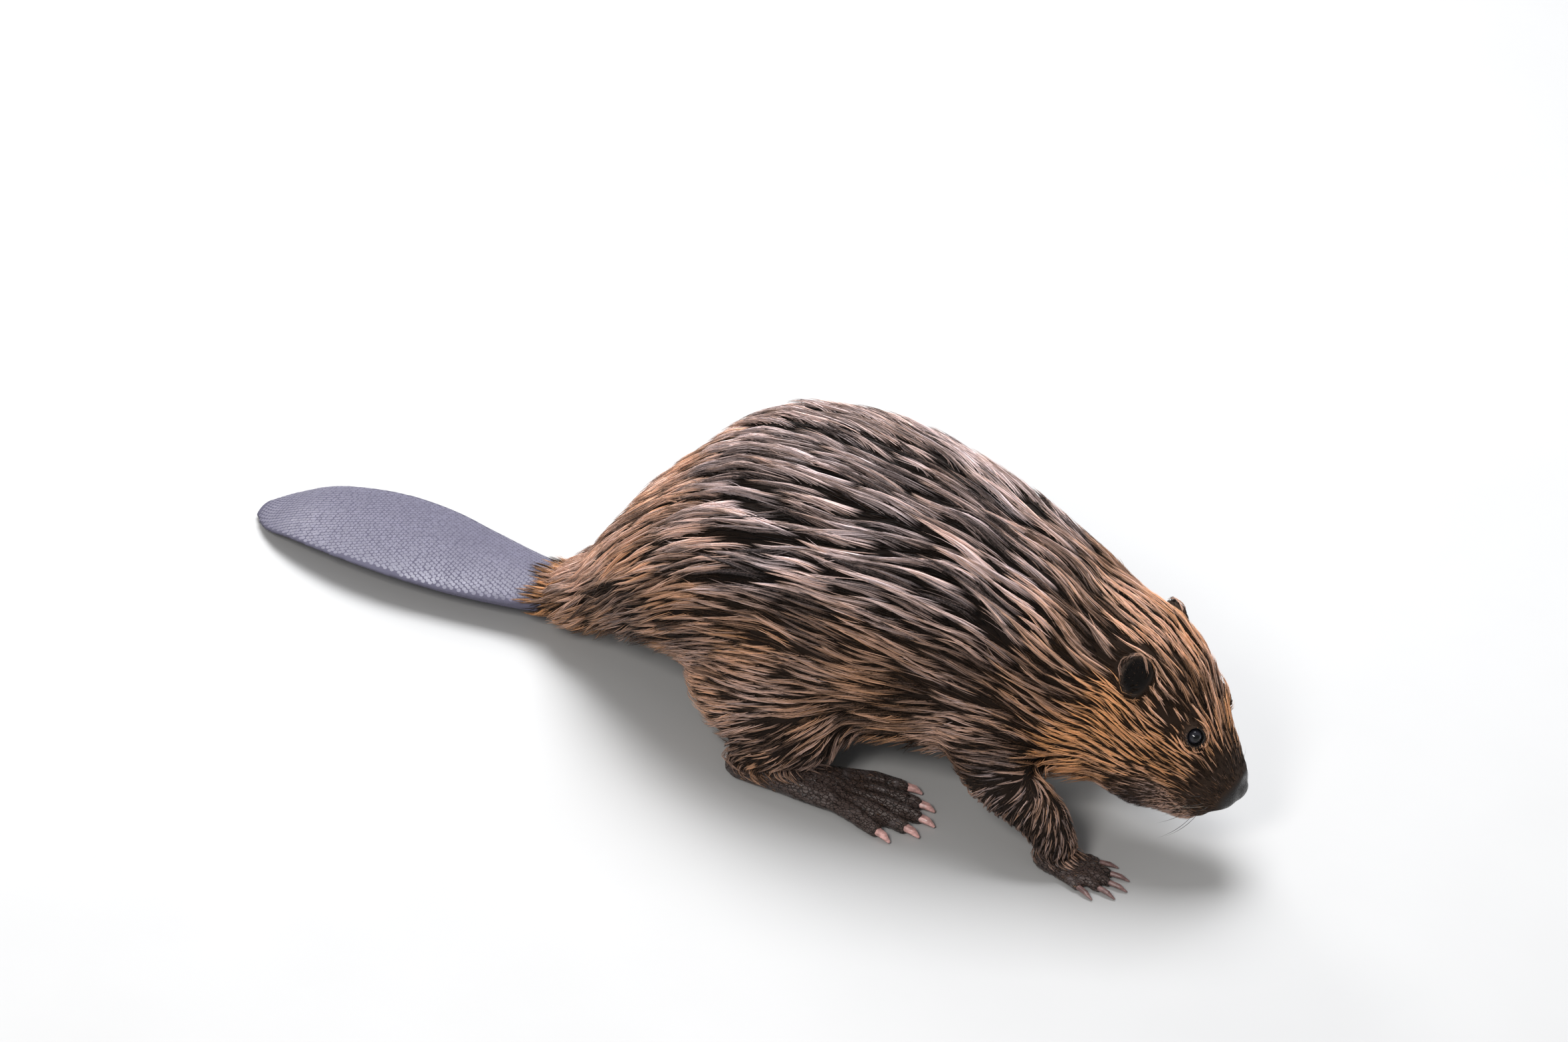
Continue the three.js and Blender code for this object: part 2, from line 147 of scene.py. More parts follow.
# For each zone: depth of the coat over the skin, length and half-width of a lock in mm, strands in a lock,
# width of a strand in mm, how pale its hair is (paler hair also carries a painted sheen of the sky on wet
# hair) and how warm, how densely locks stand, and by how many degrees their lie wanders.
ZONE_FIELDS = ("depth", "length", "half", "strands", "thick", "pale", "warm", "cover", "sway")
ZONES = {
    "muzzle": (1.2, 8, 1.0, 3, 0.42, 0.07, 0.14, 1.0, 5),
    "chin": (2.0, 9, 1.2, 4, 0.45, 0.55, 0.25, 1.1, 8),
    "lid": (0.7, 4.5, 0.8, 3, 0.36, 0.12, 0.30, 0.7, 5),
    "face": (5, 40, 1.7, 8, 0.76, 0.66, 0.94, 1.05, 6),
    "crown": (7, 50, 2.3, 11, 0.86, 0.98, 0.68, 0.92, 6),
    "neck": (10, 66, 3.1, 20, 1.00, 0.85, 0.50, 0.85, 9),
    "back": (13, 76, 4.1, 30, 1.10, 1.00, 0.15, 0.90, 12),
    "flank": (12, 54, 2.5, 14, 0.82, 0.46, 0.50, 0.95, 11),
    "belly": (10, 34, 3.8, 6, 1.00, 0.20, 0.35, 0.42, 12),
    "rump": (11, 72, 3.7, 24, 1.00, 0.95, 0.50, 0.90, 10),
    "tail_root": (5, 34, 2.2, 10, 0.85, 0.50, 0.95, 1.2, 8),
    "thigh": (10, 46, 2.2, 12, 0.75, 0.62, 0.42, 1.0, 11),
    "shank": (6, 26, 1.9, 6, 0.75, 0.36, 0.26, 0.75, 8),
    "upper_arm": (9, 44, 2.3, 12, 0.80, 0.55, 0.38, 1.0, 9),
    "forearm": (4.0, 20, 1.8, 6, 0.74, 0.42, 0.28, 0.80, 8),
    "fore_foot": (0.8, 6, 1.0, 2, 0.45, 0.05, 0.05, 0.25, 8),
    "hind_foot": (0.5, 7, 1.0, 2, 0.45, 0.05, 0.00, 0.10, 8),
    "ear": (0.5, 3.5, 0.7, 3, 0.35, 0.00, 0.00, 0.3, 6),
    "nose": (0, 1, 1, 0, 0.5, 0, 0, 0, 0),
    "tail": (0, 1, 1, 0, 0.5, 0, 0, 0, 0),
}
ZONE_NAMES = list(ZONES)
ZONE_TABLE = np.array(list(ZONES.values()), float)
ZONE_TABLE[:, [0, 1, 2, 4]] *= MM


def value(rows, name):
    """One number of the zones from rows like those of ZONE_TABLE."""
    return rows[:, ZONE_FIELDS.index(name)]


def share_of(zones, *names):
    """How much each row of zone weights belongs to the named zones together."""
    return zones[:, [ZONE_NAMES.index(name) for name in names]].sum(1)


# ---- Settings a user may change ------------------------------------------------------------------


def length_setting(name, description, default):
    return FloatProperty(name=name, description=description, default=default, unit="LENGTH")


def angle_setting(name, description, degrees):
    return FloatProperty(name=name, description=description, subtype="ANGLE", default=math.radians(degrees))


def colour_setting(name, description, default):
    return FloatVectorProperty(name=name, description=description, subtype="COLOR", default=default)


class SkinSettings(bpy.types.PropertyGroup):
    """How finely the skin is made."""

    rough_pitch: length_setting("First pitch", "Grid of the body before the coat is taken off", 3 * MM)
    fine_pitch: length_setting("Final pitch", "Grid of the finished skin", 1.5 * MM)
    faces: IntProperty(name="Faces", description="Triangles of the finished skin", default=190000, min=20000)


class CoatSettings(bpy.types.PropertyGroup):
    """Sizes and colours of the coat."""

    seed: IntProperty(name="Seed", description="Start of every random draw of the coat", default=7)
    cover: FloatProperty(name="Cover", description="How densely locks stand", default=1.0, min=0.05, max=3)
    lift: FloatProperty(name="Lift", description="Share of the coat's depth that locks reach", default=1.0)
    # painted shade: near black for the shadow that falls at the roots of the locks
    root: colour_setting("Root", "Hair at its root, in shade", (0.006, 0.004, 0.0035))
    dark: colour_setting("Dark hair", "Wet dark hair", (0.030, 0.019, 0.014))
    # pale hair: partly the hair's own colour, partly a painted sheen of the sky on the wet locks
    pale: colour_setting("Pale hair", "Hair of the back", (0.545, 0.442, 0.440))
    warm: colour_setting("Warm hair", "Chestnut hair of cheeks and rump", (0.640, 0.305, 0.120))


class BareSettings(bpy.types.PropertyGroup):
    """Colours of what no hair covers."""

    tail: colour_setting("Tail", "Scales of the tail", (0.120, 0.114, 0.160))
    foot: colour_setting("Foot", "Skin of the feet", (0.046, 0.032, 0.028))
    claw: colour_setting("Claw", "Horn of the claws", (0.600, 0.340, 0.310))
    scale: length_setting("Scale", "Length of one scale of the tail", 4.0 * MM)


class StageSettings(bpy.types.PropertyGroup):
    """Where the camera stands."""

    turn: angle_setting("Turn", "How far the camera stands round towards the head", 27)
    height: angle_setting("Height", "How far the camera looks down", 33)
    slope: angle_setting("Slope", "How far the camera leans to one side", 5)
    distance: FloatProperty(name="Distance", description="From camera to hips", default=7.28, unit="LENGTH")
    lens: FloatProperty(name="Lens", description="Focal length", default=200, unit="CAMERA")


# ---- Mesh helpers --------------------------------------------------------------------------------


def link(name, mesh):
    made = bpy.data.objects.new(name, mesh)
    bpy.context.scene.collection.objects.link(made)
    return made


def mesh_from(name, points, corners, sizes):
    """A mesh from its points, the corners of every face in one row, and each face's number of corners."""
    mesh = bpy.data.meshes.new(name)
    mesh.vertices.add(len(points))
    mesh.vertices.foreach_set("co", np.asarray(points, np.float32).ravel())
    mesh.loops.add(len(corners))
    mesh.loops.foreach_set("vertex_index", np.asarray(corners, np.int32))
    mesh.polygons.add(len(sizes))
    mesh.polygons.foreach_set("loop_start", np.concatenate([[0], np.cumsum(sizes)[:-1]]).astype(np.int32))
    mesh.polygons.foreach_set("use_smooth", np.ones(len(sizes), bool))
    mesh.update(calc_edges=True)
    return mesh


def faced(mesh):
    """The mesh with all of its faces turned outwards."""
    form = bmesh.new()
    form.from_mesh(mesh)
    bmesh.ops.recalc_face_normals(form, faces=form.faces)
    form.to_mesh(mesh)
    form.free()
    return mesh


def read(items, name, kind=float, width=3):
    """One value of every item, as a table with a column for each of its numbers."""
    values = np.empty(len(items) * width, kind)
    items.foreach_get(name, values)
    return values.reshape(-1, width) if width > 1 else values


def points_of(mesh):
    return read(mesh.vertices, "co")


def set_points(mesh, points):
    mesh.vertices.foreach_set("co", np.asarray(points, np.float32).ravel())
    mesh.update()


def normals_of(mesh):
    return read(mesh.vertex_normals, "vector")


def edges_of(mesh):
    return read(mesh.edges, "vertices", np.int32, 2)


def face_arrays(mesh):
    return read(mesh.loops, "vertex_index", np.int32, 1), read(mesh.polygons, "loop_total", np.int32, 1)


def add_shades(mesh, name, shades):
    """Stores four numbers for each vertex."""
    layer = mesh.attributes.new(name, "FLOAT_COLOR", "POINT")
    layer.data.foreach_set("color", shades.astype(np.float32).ravel())


def add_unwrap(mesh, spots):
    """Stores where each corner of a face lies on the unwrap."""
    mesh.uv_layers.new(name="OFBake").data.foreach_set("uv", spots.astype(np.float32).ravel())


def joined(*meshes):
    """One mesh that holds the faces of several."""
    points, corners, sizes, start = [], [], [], 0
    for mesh in meshes:
        points.append(points_of(mesh))
        face_corners, face_sizes = face_arrays(mesh)
        corners.append(face_corners + start)
        sizes.append(face_sizes)
        start += len(mesh.vertices)
    return mesh_from("joined", np.concatenate(points), np.concatenate(corners), np.concatenate(sizes))


def after(mesh, kind, weights=None, **settings):
    """The mesh after one modifier, whose effect a weight for each vertex may guide."""
    holder = link("holder", mesh)
    modifier = holder.modifiers.new("step", kind)
    for key, setting in settings.items():
        setattr(modifier, key, setting)
    if weights is not None:
        group = holder.vertex_groups.new(name="guide")
        levels = np.round(weights, 1)
        for level in np.unique(levels):
            group.add(np.flatnonzero(levels == level).tolist(), float(level), "REPLACE")
        modifier.vertex_group = group.name
    made = bpy.data.meshes.new_from_object(holder.evaluated_get(bpy.context.evaluated_depsgraph_get()))
    bpy.data.objects.remove(holder)
    return made


def remeshed(mesh, pitch):
    return after(mesh, "REMESH", mode="VOXEL", voxel_size=pitch)


def relaxed(values, edges, steps, pull=0.5):
    """Values at vertices, each drawn step by step towards the mean of its neighbours."""
    count = len(values)
    first, second = edges.T
    degree = np.maximum(np.bincount(edges.ravel(), minlength=count), 1)
    for _ in range(steps):
        total = np.stack([
            np.bincount(first, column[second], count) + np.bincount(second, column[first], count)
            for column in values.T
        ], 1)
        values = values + pull * (total / degree[:, None] - values)
    return values


def unit(vectors):
    return vectors / np.maximum(np.linalg.norm(vectors, axis=-1, keepdims=True), 1e-12)


def away_from(points, spots):
    """How far each point lies from the nearest of some spots."""
    return np.min([np.linalg.norm(points - np.array(at), axis=1) for at in spots], 0)


def smooth_step(low, high, places):
    """From 0 at low to 1 at high, without a corner; low may be the greater."""
    share = np.clip((places - low) / (high - low), 0, 1)
    return share * share * (3 - 2 * share)


SAME_POINT = 0.02 * MM  # corners of a solid that lie closer than this are one


def solid_copy(node, grow=0.0):
    """A CAD node's mesh with its corners joined, grown by a little along its normals."""
    form = bmesh.new()
    form.from_mesh(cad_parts[node].data)
    bmesh.ops.remove_doubles(form, verts=form.verts, dist=SAME_POINT)
    bmesh.ops.recalc_face_normals(form, faces=form.faces)
    form.normal_update()
    for vertex in form.verts:
        vertex.co += vertex.normal * grow
    mesh = bpy.data.meshes.new(node + "_copy")
    form.to_mesh(mesh)
    form.free()
    return mesh


def refined(node, pitch, steps, grow=0.0):
    """A CAD node's mesh made fine and its facets smoothed away."""
    mesh = remeshed(solid_copy(node, grow), pitch)
    set_points(mesh, relaxed(points_of(mesh), edges_of(mesh), steps))
    return mesh


def wave(points, length, seed, terms=7):
    """A smooth random field over space, from about -1 to 1, that changes over the given length."""
    draw = np.random.default_rng(seed)
    ways = unit(draw.normal(size=(terms, 3))) * draw.uniform(0.7, 1.5, (terms, 1)) * (2 * math.pi / length)
    starts = draw.uniform(0, 2 * math.pi, terms)
    return np.sin(points @ ways.T + starts).sum(1) * (1.25 / math.sqrt(terms))


def bump(places, centre, radius):
    """A rounded bump on both sides of the head, 1 at its centre. Centre and radius are in mm."""
    offset = (np.stack([places[:, 0], np.abs(places[:, 1]), places[:, 2]], 1) - np.array(centre) * MM) / MM
    return np.exp(-((offset / np.array(radius)) ** 2).sum(1))


# ---- Skin ----------------------------------------------------------------------------------------


def node_finder(names):
    """A function that gives, for points, the index in names of the CAD node that lies nearest."""
    points, polygons, owner, start = [], [], [], 0
    for index, name in enumerate(names):
        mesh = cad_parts[name].data
        points += [vertex.co.copy() for vertex in mesh.vertices]
        polygons += [[corner + start for corner in face.vertices] for face in mesh.polygons]
        owner += [index] * len(mesh.polygons)
        start += len(mesh.vertices)
    tree = BVHTree.FromPolygons(points, polygons)
    return lambda places: np.array([owner[tree.find_nearest(place)[2]] for place in places.tolist()])


ALL_FLESH = [*BODY_NODES, *LEG_NODES, *BARE_NODES]
nearest_flesh = node_finder(ALL_FLESH)


def is_one_of(owners, names):
    """Which of the indices that nearest_flesh gives stand for the named nodes."""
    return np.isin(owners, [ALL_FLESH.index(name) for name in names])


# Where one zone gives way to the next: the two values between which it does, in metres where a length.
BACK_TURNS = (-0.05, 0.55)  # how far the skin of the body faces up
BELLY_TURNS = (-0.35, -0.75)
CROWN_TURNS = (0.25, 0.75)  # how far the skin of the head faces away from the jaw
CROWN_ENDS = (0.105, 0.075)  # place along the head
MUZZLE_STARTS = (0.095, 0.121)
CHIN_STARTS = (0.078, 0.096)
CHIN_LIES = (-0.036, -0.050)  # height over the line from ears to nose
LID_ENDS = (0.0145, 0.009)  # distance from the middle of the eye


def zone_weights(points, normals, owners):
    """How much each vertex belongs to each zone of the coat."""
    weights = np.zeros((len(points), len(ZONE_NAMES)))

    def give(mask, zone, share=1.0):
        weights[:, ZONE_NAMES.index(zone)] += mask * share

    part = {name: owners == index for index, name in enumerate(ALL_FLESH)}
    high = smooth_step(*BACK_TURNS, normals[:, 2])
    low = smooth_step(*BELLY_TURNS, normals[:, 2])
    for name, zone in (("neck", "neck"), ("shoulders", "back"), ("trunk", "back"), ("rump", "rump")):
        give(part[name], zone, high)
        give(part[name], "flank", (1 - high) * (1 - low))
        give(part[name], "belly", low)
    places = head_places(points)
    front = smooth_step(*MUZZLE_STARTS, places[:, 0])
    crown = smooth_step(*CROWN_TURNS, normals @ HEAD_AXES[2]) * smooth_step(*CROWN_ENDS, places[:, 0])
    chin = smooth_step(*CHIN_LIES, places[:, 2]) * smooth_step(*CHIN_STARTS, places[:, 0])
    lid = smooth_step(*LID_ENDS, away_from(points, EYES.values()))
    nose = np.zeros(len(points))
    for at, reach in BARE_SPOTS:
        away = np.linalg.norm((places - np.array(at)) * BARE_STRETCH, axis=1)
        nose = np.maximum(nose, smooth_step(reach, reach * BARE_EDGE, away))
    give(part["head"], "nose", nose)
    furred = part["head"] * (1 - nose)
    give(furred, "lid", lid)
    give(furred, "chin", (1 - lid) * chin)
    furred = furred * (1 - chin)
    give(furred, "muzzle", (1 - lid) * front)
    give(furred, "crown", (1 - lid) * (1 - front) * crown)
    give(furred, "face", (1 - lid) * (1 - front) * (1 - crown))
    for node in ("tail_root", "nose", "tail"):
        give(part[node], node)
    for side in SIDES:
        give(part[f"ear_{side}"], "ear")
        give(part[f"hind_upper_leg_{side}"], "thigh")
        give(part[f"hind_lower_leg_{side}"], "shank")
        give(part[f"hind_foot_{side}"], "hind_foot")
        give(part[f"fore_upper_leg_{side}"], "upper_arm")
        give(part[f"fore_lower_leg_{side}"], "forearm")
        give(part[f"fore_foot_{side}"], "fore_foot")
    return weights


BODY_GROWN = 0.5 * MM  # how much solids grow before they are joined, so that no gap stays
LEG_PULL, BODY_PULL = 0.20, 0.62  # how hard the facets of legs and body are smoothed
SNOUT_SPARED = 0.54  # and how much less those of the snout
FACET_STEPS = 34
DEPTH_SHARE = 0.62  # how far the skin lies under the solids, as a share of the coat's depth
SNOUT_KEPT, BROW_KEPT = 2.0, 1.0  # the skin of snout and brow lies less deep by this, in mm
SNOUT_SMOOTH = (0.02, 0.10)  # places along the head between which the snout begins, for its facets
SNOUT_DEPTH = (0.080, 0.118)  # and for its depth
BROW = ((80, 0, 14), (42, 26, 16))  # its centre along the head and its radius, in mm


def furred_body(settings):
    """The body and legs, smooth, less the depth of the coat."""
    solids = [solid_copy(name, BODY_GROWN) for name in (*BODY_NODES, *LEG_NODES)]
    mesh = remeshed(joined(*solids), settings.rough_pitch)
    first, edges = points_of(mesh), edges_of(mesh)
    owners = nearest_flesh(first)
    snout = smooth_step(*SNOUT_SMOOTH, head_places(first)[:, 0]) * is_one_of(owners, ["head"])
    pull = np.where(is_one_of(owners, LEG_NODES), LEG_PULL, BODY_PULL - SNOUT_SPARED * snout)
    points = relaxed(first, edges, FACET_STEPS, relaxed(pull[:, None], edges, 6))
    set_points(mesh, points)
    normals = unit(relaxed(normals_of(mesh), edges, 4))
    lost = ((first - points) * normals).sum(1, keepdims=True)
    points += normals * relaxed(lost, edges, 40)
    zones = relaxed(zone_weights(points, normals, nearest_flesh(points)), edges, 9)
    depth = (zones @ ZONE_TABLE[:, 0]) / np.maximum(zones.sum(1), 1e-6)
    places = head_places(points)
    snout = smooth_step(*SNOUT_DEPTH, places[:, 0])
    brow = bump(places, *BROW)
    depth = DEPTH_SHARE * depth - (SNOUT_KEPT * snout + BROW_KEPT * brow) * MM
    set_points(mesh, relaxed(points - normals * depth[:, None], edges, 4))
    return mesh


# The paddle of the tail as the solids have it: distance ahead of the hips, height, half-width and
# half-thickness.
TAIL_SECTIONS = np.array([
    (-0.252, 0.0325, 0.032, 0.0145),
    (-0.300, 0.027, 0.041, 0.0125),
    (-0.350, 0.026, 0.051, 0.0105),
    (-0.400, 0.0275, 0.058, 0.0085),
    (-0.450, 0.026, 0.057, 0.0070),
    (-0.500, 0.0195, 0.047, 0.0065),
    (-0.532, 0.009, 0.033, 0.0060),
    (-0.552, 0.0035, 0.012, 0.0042),
])
TAIL_SQUARENESS = 1.7  # 2 would make each section an ellipse, less makes it more pointed at its edges
PADDLE_RINGS, PADDLE_SIDES = 90, 72
PADDLE_INSET = 0.5 * MM  # how far the tail's skin lies within the solid, as room for its scales


def on_curve(rows, shares):
    """Points of a smooth curve through rows of numbers, at shares of its length from 0 to 1."""
    steps = np.clip(shares, 0, 1) * (len(rows) - 1)
    start = np.minimum(steps.astype(int), len(rows) - 2)
    t = (steps - start)[:, None]
    padded = np.vstack([2 * rows[0] - rows[1], rows, 2 * rows[-1] - rows[-2]])
    a, b, c, d = (padded[start + k] for k in range(4))
    return 0.5 * (2 * b + (c - a) * t + (2 * a - 5 * b + 4 * c - d) * t**2 + (3 * b - a - 3 * c + d) * t**3)


def paddle_points(shares, angles, inset=0.0):
    """Points of the paddle at shares of its length and angles round it, where a quarter turn points up."""
    rows = on_curve(TAIL_SECTIONS, shares)
    behind, ahead = (on_curve(TAIL_SECTIONS, shares + step) for step in (-0.01, 0.01))
    slope = unit((ahead - behind)[:, :2])
    bend = 2 / TAIL_SQUARENESS
    across = np.sign(np.cos(angles)) * np.abs(np.cos(angles)) ** bend * (rows[:, 2] - inset)
    above = np.sign(np.sin(angles)) * np.abs(np.sin(angles)) ** bend * (rows[:, 3] - inset)
    x = HIPS_X + rows[:, 0] + slope[:, 1] * above
    z = np.maximum(rows[:, 1] - slope[:, 0] * above, 0)
    return np.stack([x, across, z], 1)


def tube_mesh(name, rings):
    """A closed mesh through rings of points, with a fan over each end."""
    lengths, sides = rings.shape[:2]
    points = np.vstack([rings.reshape(-1, 3), rings[0].mean(0), rings[-1].mean(0)])
    ring, side = np.meshgrid(np.arange(lengths - 1), np.arange(sides), indexing="ij")
    a = (ring * sides + side).ravel()
    b = (ring * sides + (side + 1) % sides).ravel()
    quads = np.stack([a, b, b + sides, a + sides], 1)
    turn = np.arange(sides)
    on = (turn + 1) % sides
    hub = lengths * sides
    last = (lengths - 1) * sides
    fans = np.vstack([
        np.stack([np.full(sides, hub), on, turn], 1),
        np.stack([np.full(sides, hub + 1), last + turn, last + on], 1),
    ])
    corners = np.concatenate([quads.ravel(), fans.ravel()])
    return mesh_from(name, points, corners, np.array([4] * len(quads) + [3] * len(fans)))


def paddle_mesh():
    """The tail's skin, on which its scales stand."""
    shares = np.linspace(0, 1, PADDLE_RINGS)
    angles = np.arange(PADDLE_SIDES) * 2 * math.pi / PADDLE_SIDES
    shares, angles = np.meshgrid(shares, angles, indexing="ij")
    rings = paddle_points(shares.ravel(), angles.ravel(), PADDLE_INSET)
    return faced(tube_mesh("paddle", rings.reshape(PADDLE_RINGS, PADDLE_SIDES, 3)))


# The socket of an eye, in mm from the eye's middle.
SOCKET_REACH = 16
SOCKET_FADE = (13.5, 7.6)  # distances between which the socket gives way to the head
LID_LONG, LID_HIGH = 1.1, 0.92  # how the lids' ring is drawn out along the head
LID_EDGE = (6.7, 7.4)  # distances between which the skin climbs from inside the eyeball to the lids
LID_RISE = 3.6
LID_RIDGE = (0.9, 8.0, 1.0)  # height, distance and width of the ridge round the lids
LID_FOLD = (0.6, 10.4, 1.3)  # and of the fold outside it
SLIT_DEPTH = 2.2  # how far the skin inside the lids lies within the eyeball


def ring_wave(shape, reach):
    """A rounded ridge at one distance from a middle; shape holds its height, distance and width."""
    height, distance, width = shape
    return height * np.exp(-(((reach - distance) / width) ** 2))


def sculpt_eyes(points):
    """Sets each eye in a socket with a lid round it."""
    radius = EYE_RADIUS / MM
    for side, eye in EYES.items():
        out = unit(EYE_OUT[side])
        offset = (points - np.array(eye)) / MM
        near = np.flatnonzero(np.linalg.norm(offset, axis=1) < SOCKET_REACH)
        near = near[offset[near] @ out > -2]
        part = offset[near]
        rise = part @ out
        flat = part - rise[:, None] * out
        along = flat @ HEAD_AXES[0]
        reach = np.sqrt((along / LID_LONG) ** 2 + np.maximum((flat**2).sum(1) - along**2, 0) / LID_HIGH**2)
        inside = np.sqrt(np.maximum(radius**2 - reach**2, 4)) - SLIT_DEPTH
        crest = LID_RISE + ring_wave(LID_RIDGE, reach) - ring_wave(LID_FOLD, reach)
        target = inside + (crest - inside) * smooth_step(*LID_EDGE, reach)
        hold = smooth_step(*SOCKET_FADE, reach)
        points[near] += out * ((target - rise) * hold * MM)[:, None]
    return points


# Forms of the head: how far each rises, its centre along the head, and its radius, all in mm.
HEAD_FORMS = (
    (2.2, (56, 33, 9), (13, 9, 7)),  # brow
    (2.5, (52, 46, -48), (24, 14, 22)),  # cheek
    (-1.6, (84, 31, -2), (9, 8, 9)),  # hollow before the eye
    (2.0, (121, 23, -38), (12, 10, 10)),  # whisker pad
    (5.5, (98, 24, -84), (16, 19, 15)),  # jowl
    (6.0, (80, 24, -98), (16, 22, 18)),  # throat behind the jowl
    (-1.2, (133, 0, -42), (7, 2.2, 12)),  # cleft of the upper lip
    (-4.2, (137.5, 10.5, -17), (3.4, 3.4, 2.3)),  # nostril
    (-2.0, (133.5, 13.5, -13.5), (3.4, 3.0, 2.0)),  # groove behind the nostril
)
# The mouth, in mm: its height across the head, its depth and half-width, and the lip over it.
MOUTH_AT, MOUTH_DEPTH, MOUTH_HALF = -52, 2.3, 1.5
LIP_OVER, LIP_RISE, LIP_HALF = 5, 0.9, 4


def sculpt_head(points, normals):
    """Raises brow, cheeks, jowls and whisker pads, and sinks nostrils and mouth."""
    places = head_places(points)
    lift = sum(rise * bump(places, centre, radius) for rise, centre, radius in HEAD_FORMS)
    s, n = places[:, 0] / MM, places[:, 2] / MM
    line = MOUTH_AT + 7 * smooth_step(118, 138, s) - 6 * smooth_step(112, 90, s)
    mouth = np.exp(-(((n - line) / MOUTH_HALF) ** 2)) * smooth_step(92, 100, s)
    lips = np.exp(-(((n - line - LIP_OVER) / LIP_HALF) ** 2)) * smooth_step(96, 112, s)
    lift += LIP_RISE * lips - MOUTH_DEPTH * mouth
    return points + normals * (lift * MM)[:, None]


EAR_OUT = (0.12, 0.79, 0.60)  # the way the hollow of an ear faces, in the axes of the head
EAR_HALF = (14.25, 18.24)  # half-width and half-length of an ear, in mm
EAR_THICK = 7  # skin farther than this from the plane of an ear isn't part of it, in mm
EAR_HOLLOW = 3.4  # in mm
EAR_SLOPE = (0.80, 0.45)  # where its hollow begins and is full, from 0 at the middle to 1 at the edge
EAR_RIM = (0.9, 0.90, 0.12)  # height in mm, place and width of its rim


def ear_places(points, normals, side):
    """Where points lie on an ear: the way its hollow faces, how far they are from its middle, 1 at its
    edge, and how much they face that way."""
    form = points_of(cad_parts[f"ear_{side}"].data)
    middle = form.mean(0)
    _, axes = np.linalg.eigh(np.cov((form - middle).T))
    out = axes[:, 0] * np.sign(axes[:, 0] @ (np.array(EAR_OUT) * (1, SIDES[side], 1) @ HEAD_AXES))
    offset = (points - middle) / MM
    reach = np.hypot(offset @ axes[:, 1] / EAR_HALF[0], offset @ axes[:, 2] / EAR_HALF[1])
    return out, reach, smooth_step(0.0, 0.5, normals @ out) * (np.abs(offset @ out) < EAR_THICK)


def sculpt_ears(points, normals):
    """Hollows each ear inside a rounded rim."""
    for side in SIDES:
        out, reach, facing = ear_places(points, normals, side)
        lift = -EAR_HOLLOW * smooth_step(*EAR_SLOPE, reach) + ring_wave(EAR_RIM, reach)
        points = points + out * (lift * facing * (reach < 1.3) * MM)[:, None]
    return points


HEEL_AHEAD, HEEL_OUT = 0.05, 0.008  # the point from which the tendons run, from the foot's back and middle
TENDON_HALF = 2.7 * MM
TENDON_START = (0.012, 0.04)  # distances from that point between which a tendon comes up
TENDON_RISE, WRINKLE_RISE = 2.0, 0.30  # in mm
WRINKLE_TURN = 1.1  # how far the wave of the wrinkles turns in each mm


def sculpt_feet(points, normals):
    """Raises a tendon along each toe of the hind feet and wrinkles the skin across it."""
    lift = np.zeros(len(points))
    for side, sign in SIDES.items():
        low, high = (np.array(corner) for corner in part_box(f"hind_foot_{side}"))
        inside = ((points > low - MM) & (points < high + MM)).all(1) & (normals[:, 2] > 0.1)
        heel = np.array([low[0] + HEEL_AHEAD, (low[1] + high[1]) / 2 + HEEL_OUT * sign])
        offset = points[inside, :2] - heel
        for toe in range(1, 6):
            tip = np.array(box_centre(f"hind_claw_{side}_{toe}"))[:2]
            way = (tip - heel) / np.linalg.norm(tip - heel)
            run = offset @ way
            apart = np.abs(offset[:, 0] * way[1] - offset[:, 1] * way[0])
            band = np.exp(-((apart / TENDON_HALF) ** 2)) * smooth_step(*TENDON_START, run)
            lift[inside] += band * (TENDON_RISE + WRINKLE_RISE * np.sin(run / MM * WRINKLE_TURN + toe))
    return points + normals * (lift * MM)[:, None]


EYE_FINE, NOSE_FINE, MOUTH_FINE = 0.014, 0.019, 0.011  # reach of the finer faces round each
MOUTH_SPOTS = ((125, 16, -50), (108, 26, -50))  # places along the mouth, in mm


def sharpened(mesh):
    """Splits the faces round eyes, nose and mouth so that folds can be cut there."""
    form = bmesh.new()
    form.from_mesh(mesh)
    spots = [(Vector(at), EYE_FINE) for at in EYES.values()] + [(Vector(NOSE), NOSE_FINE)]
    for sign in SIDES.values():
        spots += [(on_head(s * MM, sign * y * MM, n * MM), MOUTH_FINE) for s, y, n in MOUTH_SPOTS]
    edges = [
        edge for edge in form.edges
        if any(((edge.verts[0].co + edge.verts[1].co) / 2 - at).length < reach for at, reach in spots)
    ]
    bmesh.ops.subdivide_edges(form, edges=edges, cuts=1, use_grid_fill=True)
    bmesh.ops.triangulate(form, faces=[face for face in form.faces if len(face.verts) > 4])
    form.to_mesh(mesh)
    form.free()
    return mesh


NOSE_SWELL = 1.2  # makes up for what smoothing takes off the nose, in mm
NOSE_NEAR = (0.030, 0.016)  # distances from the nose between which that begins


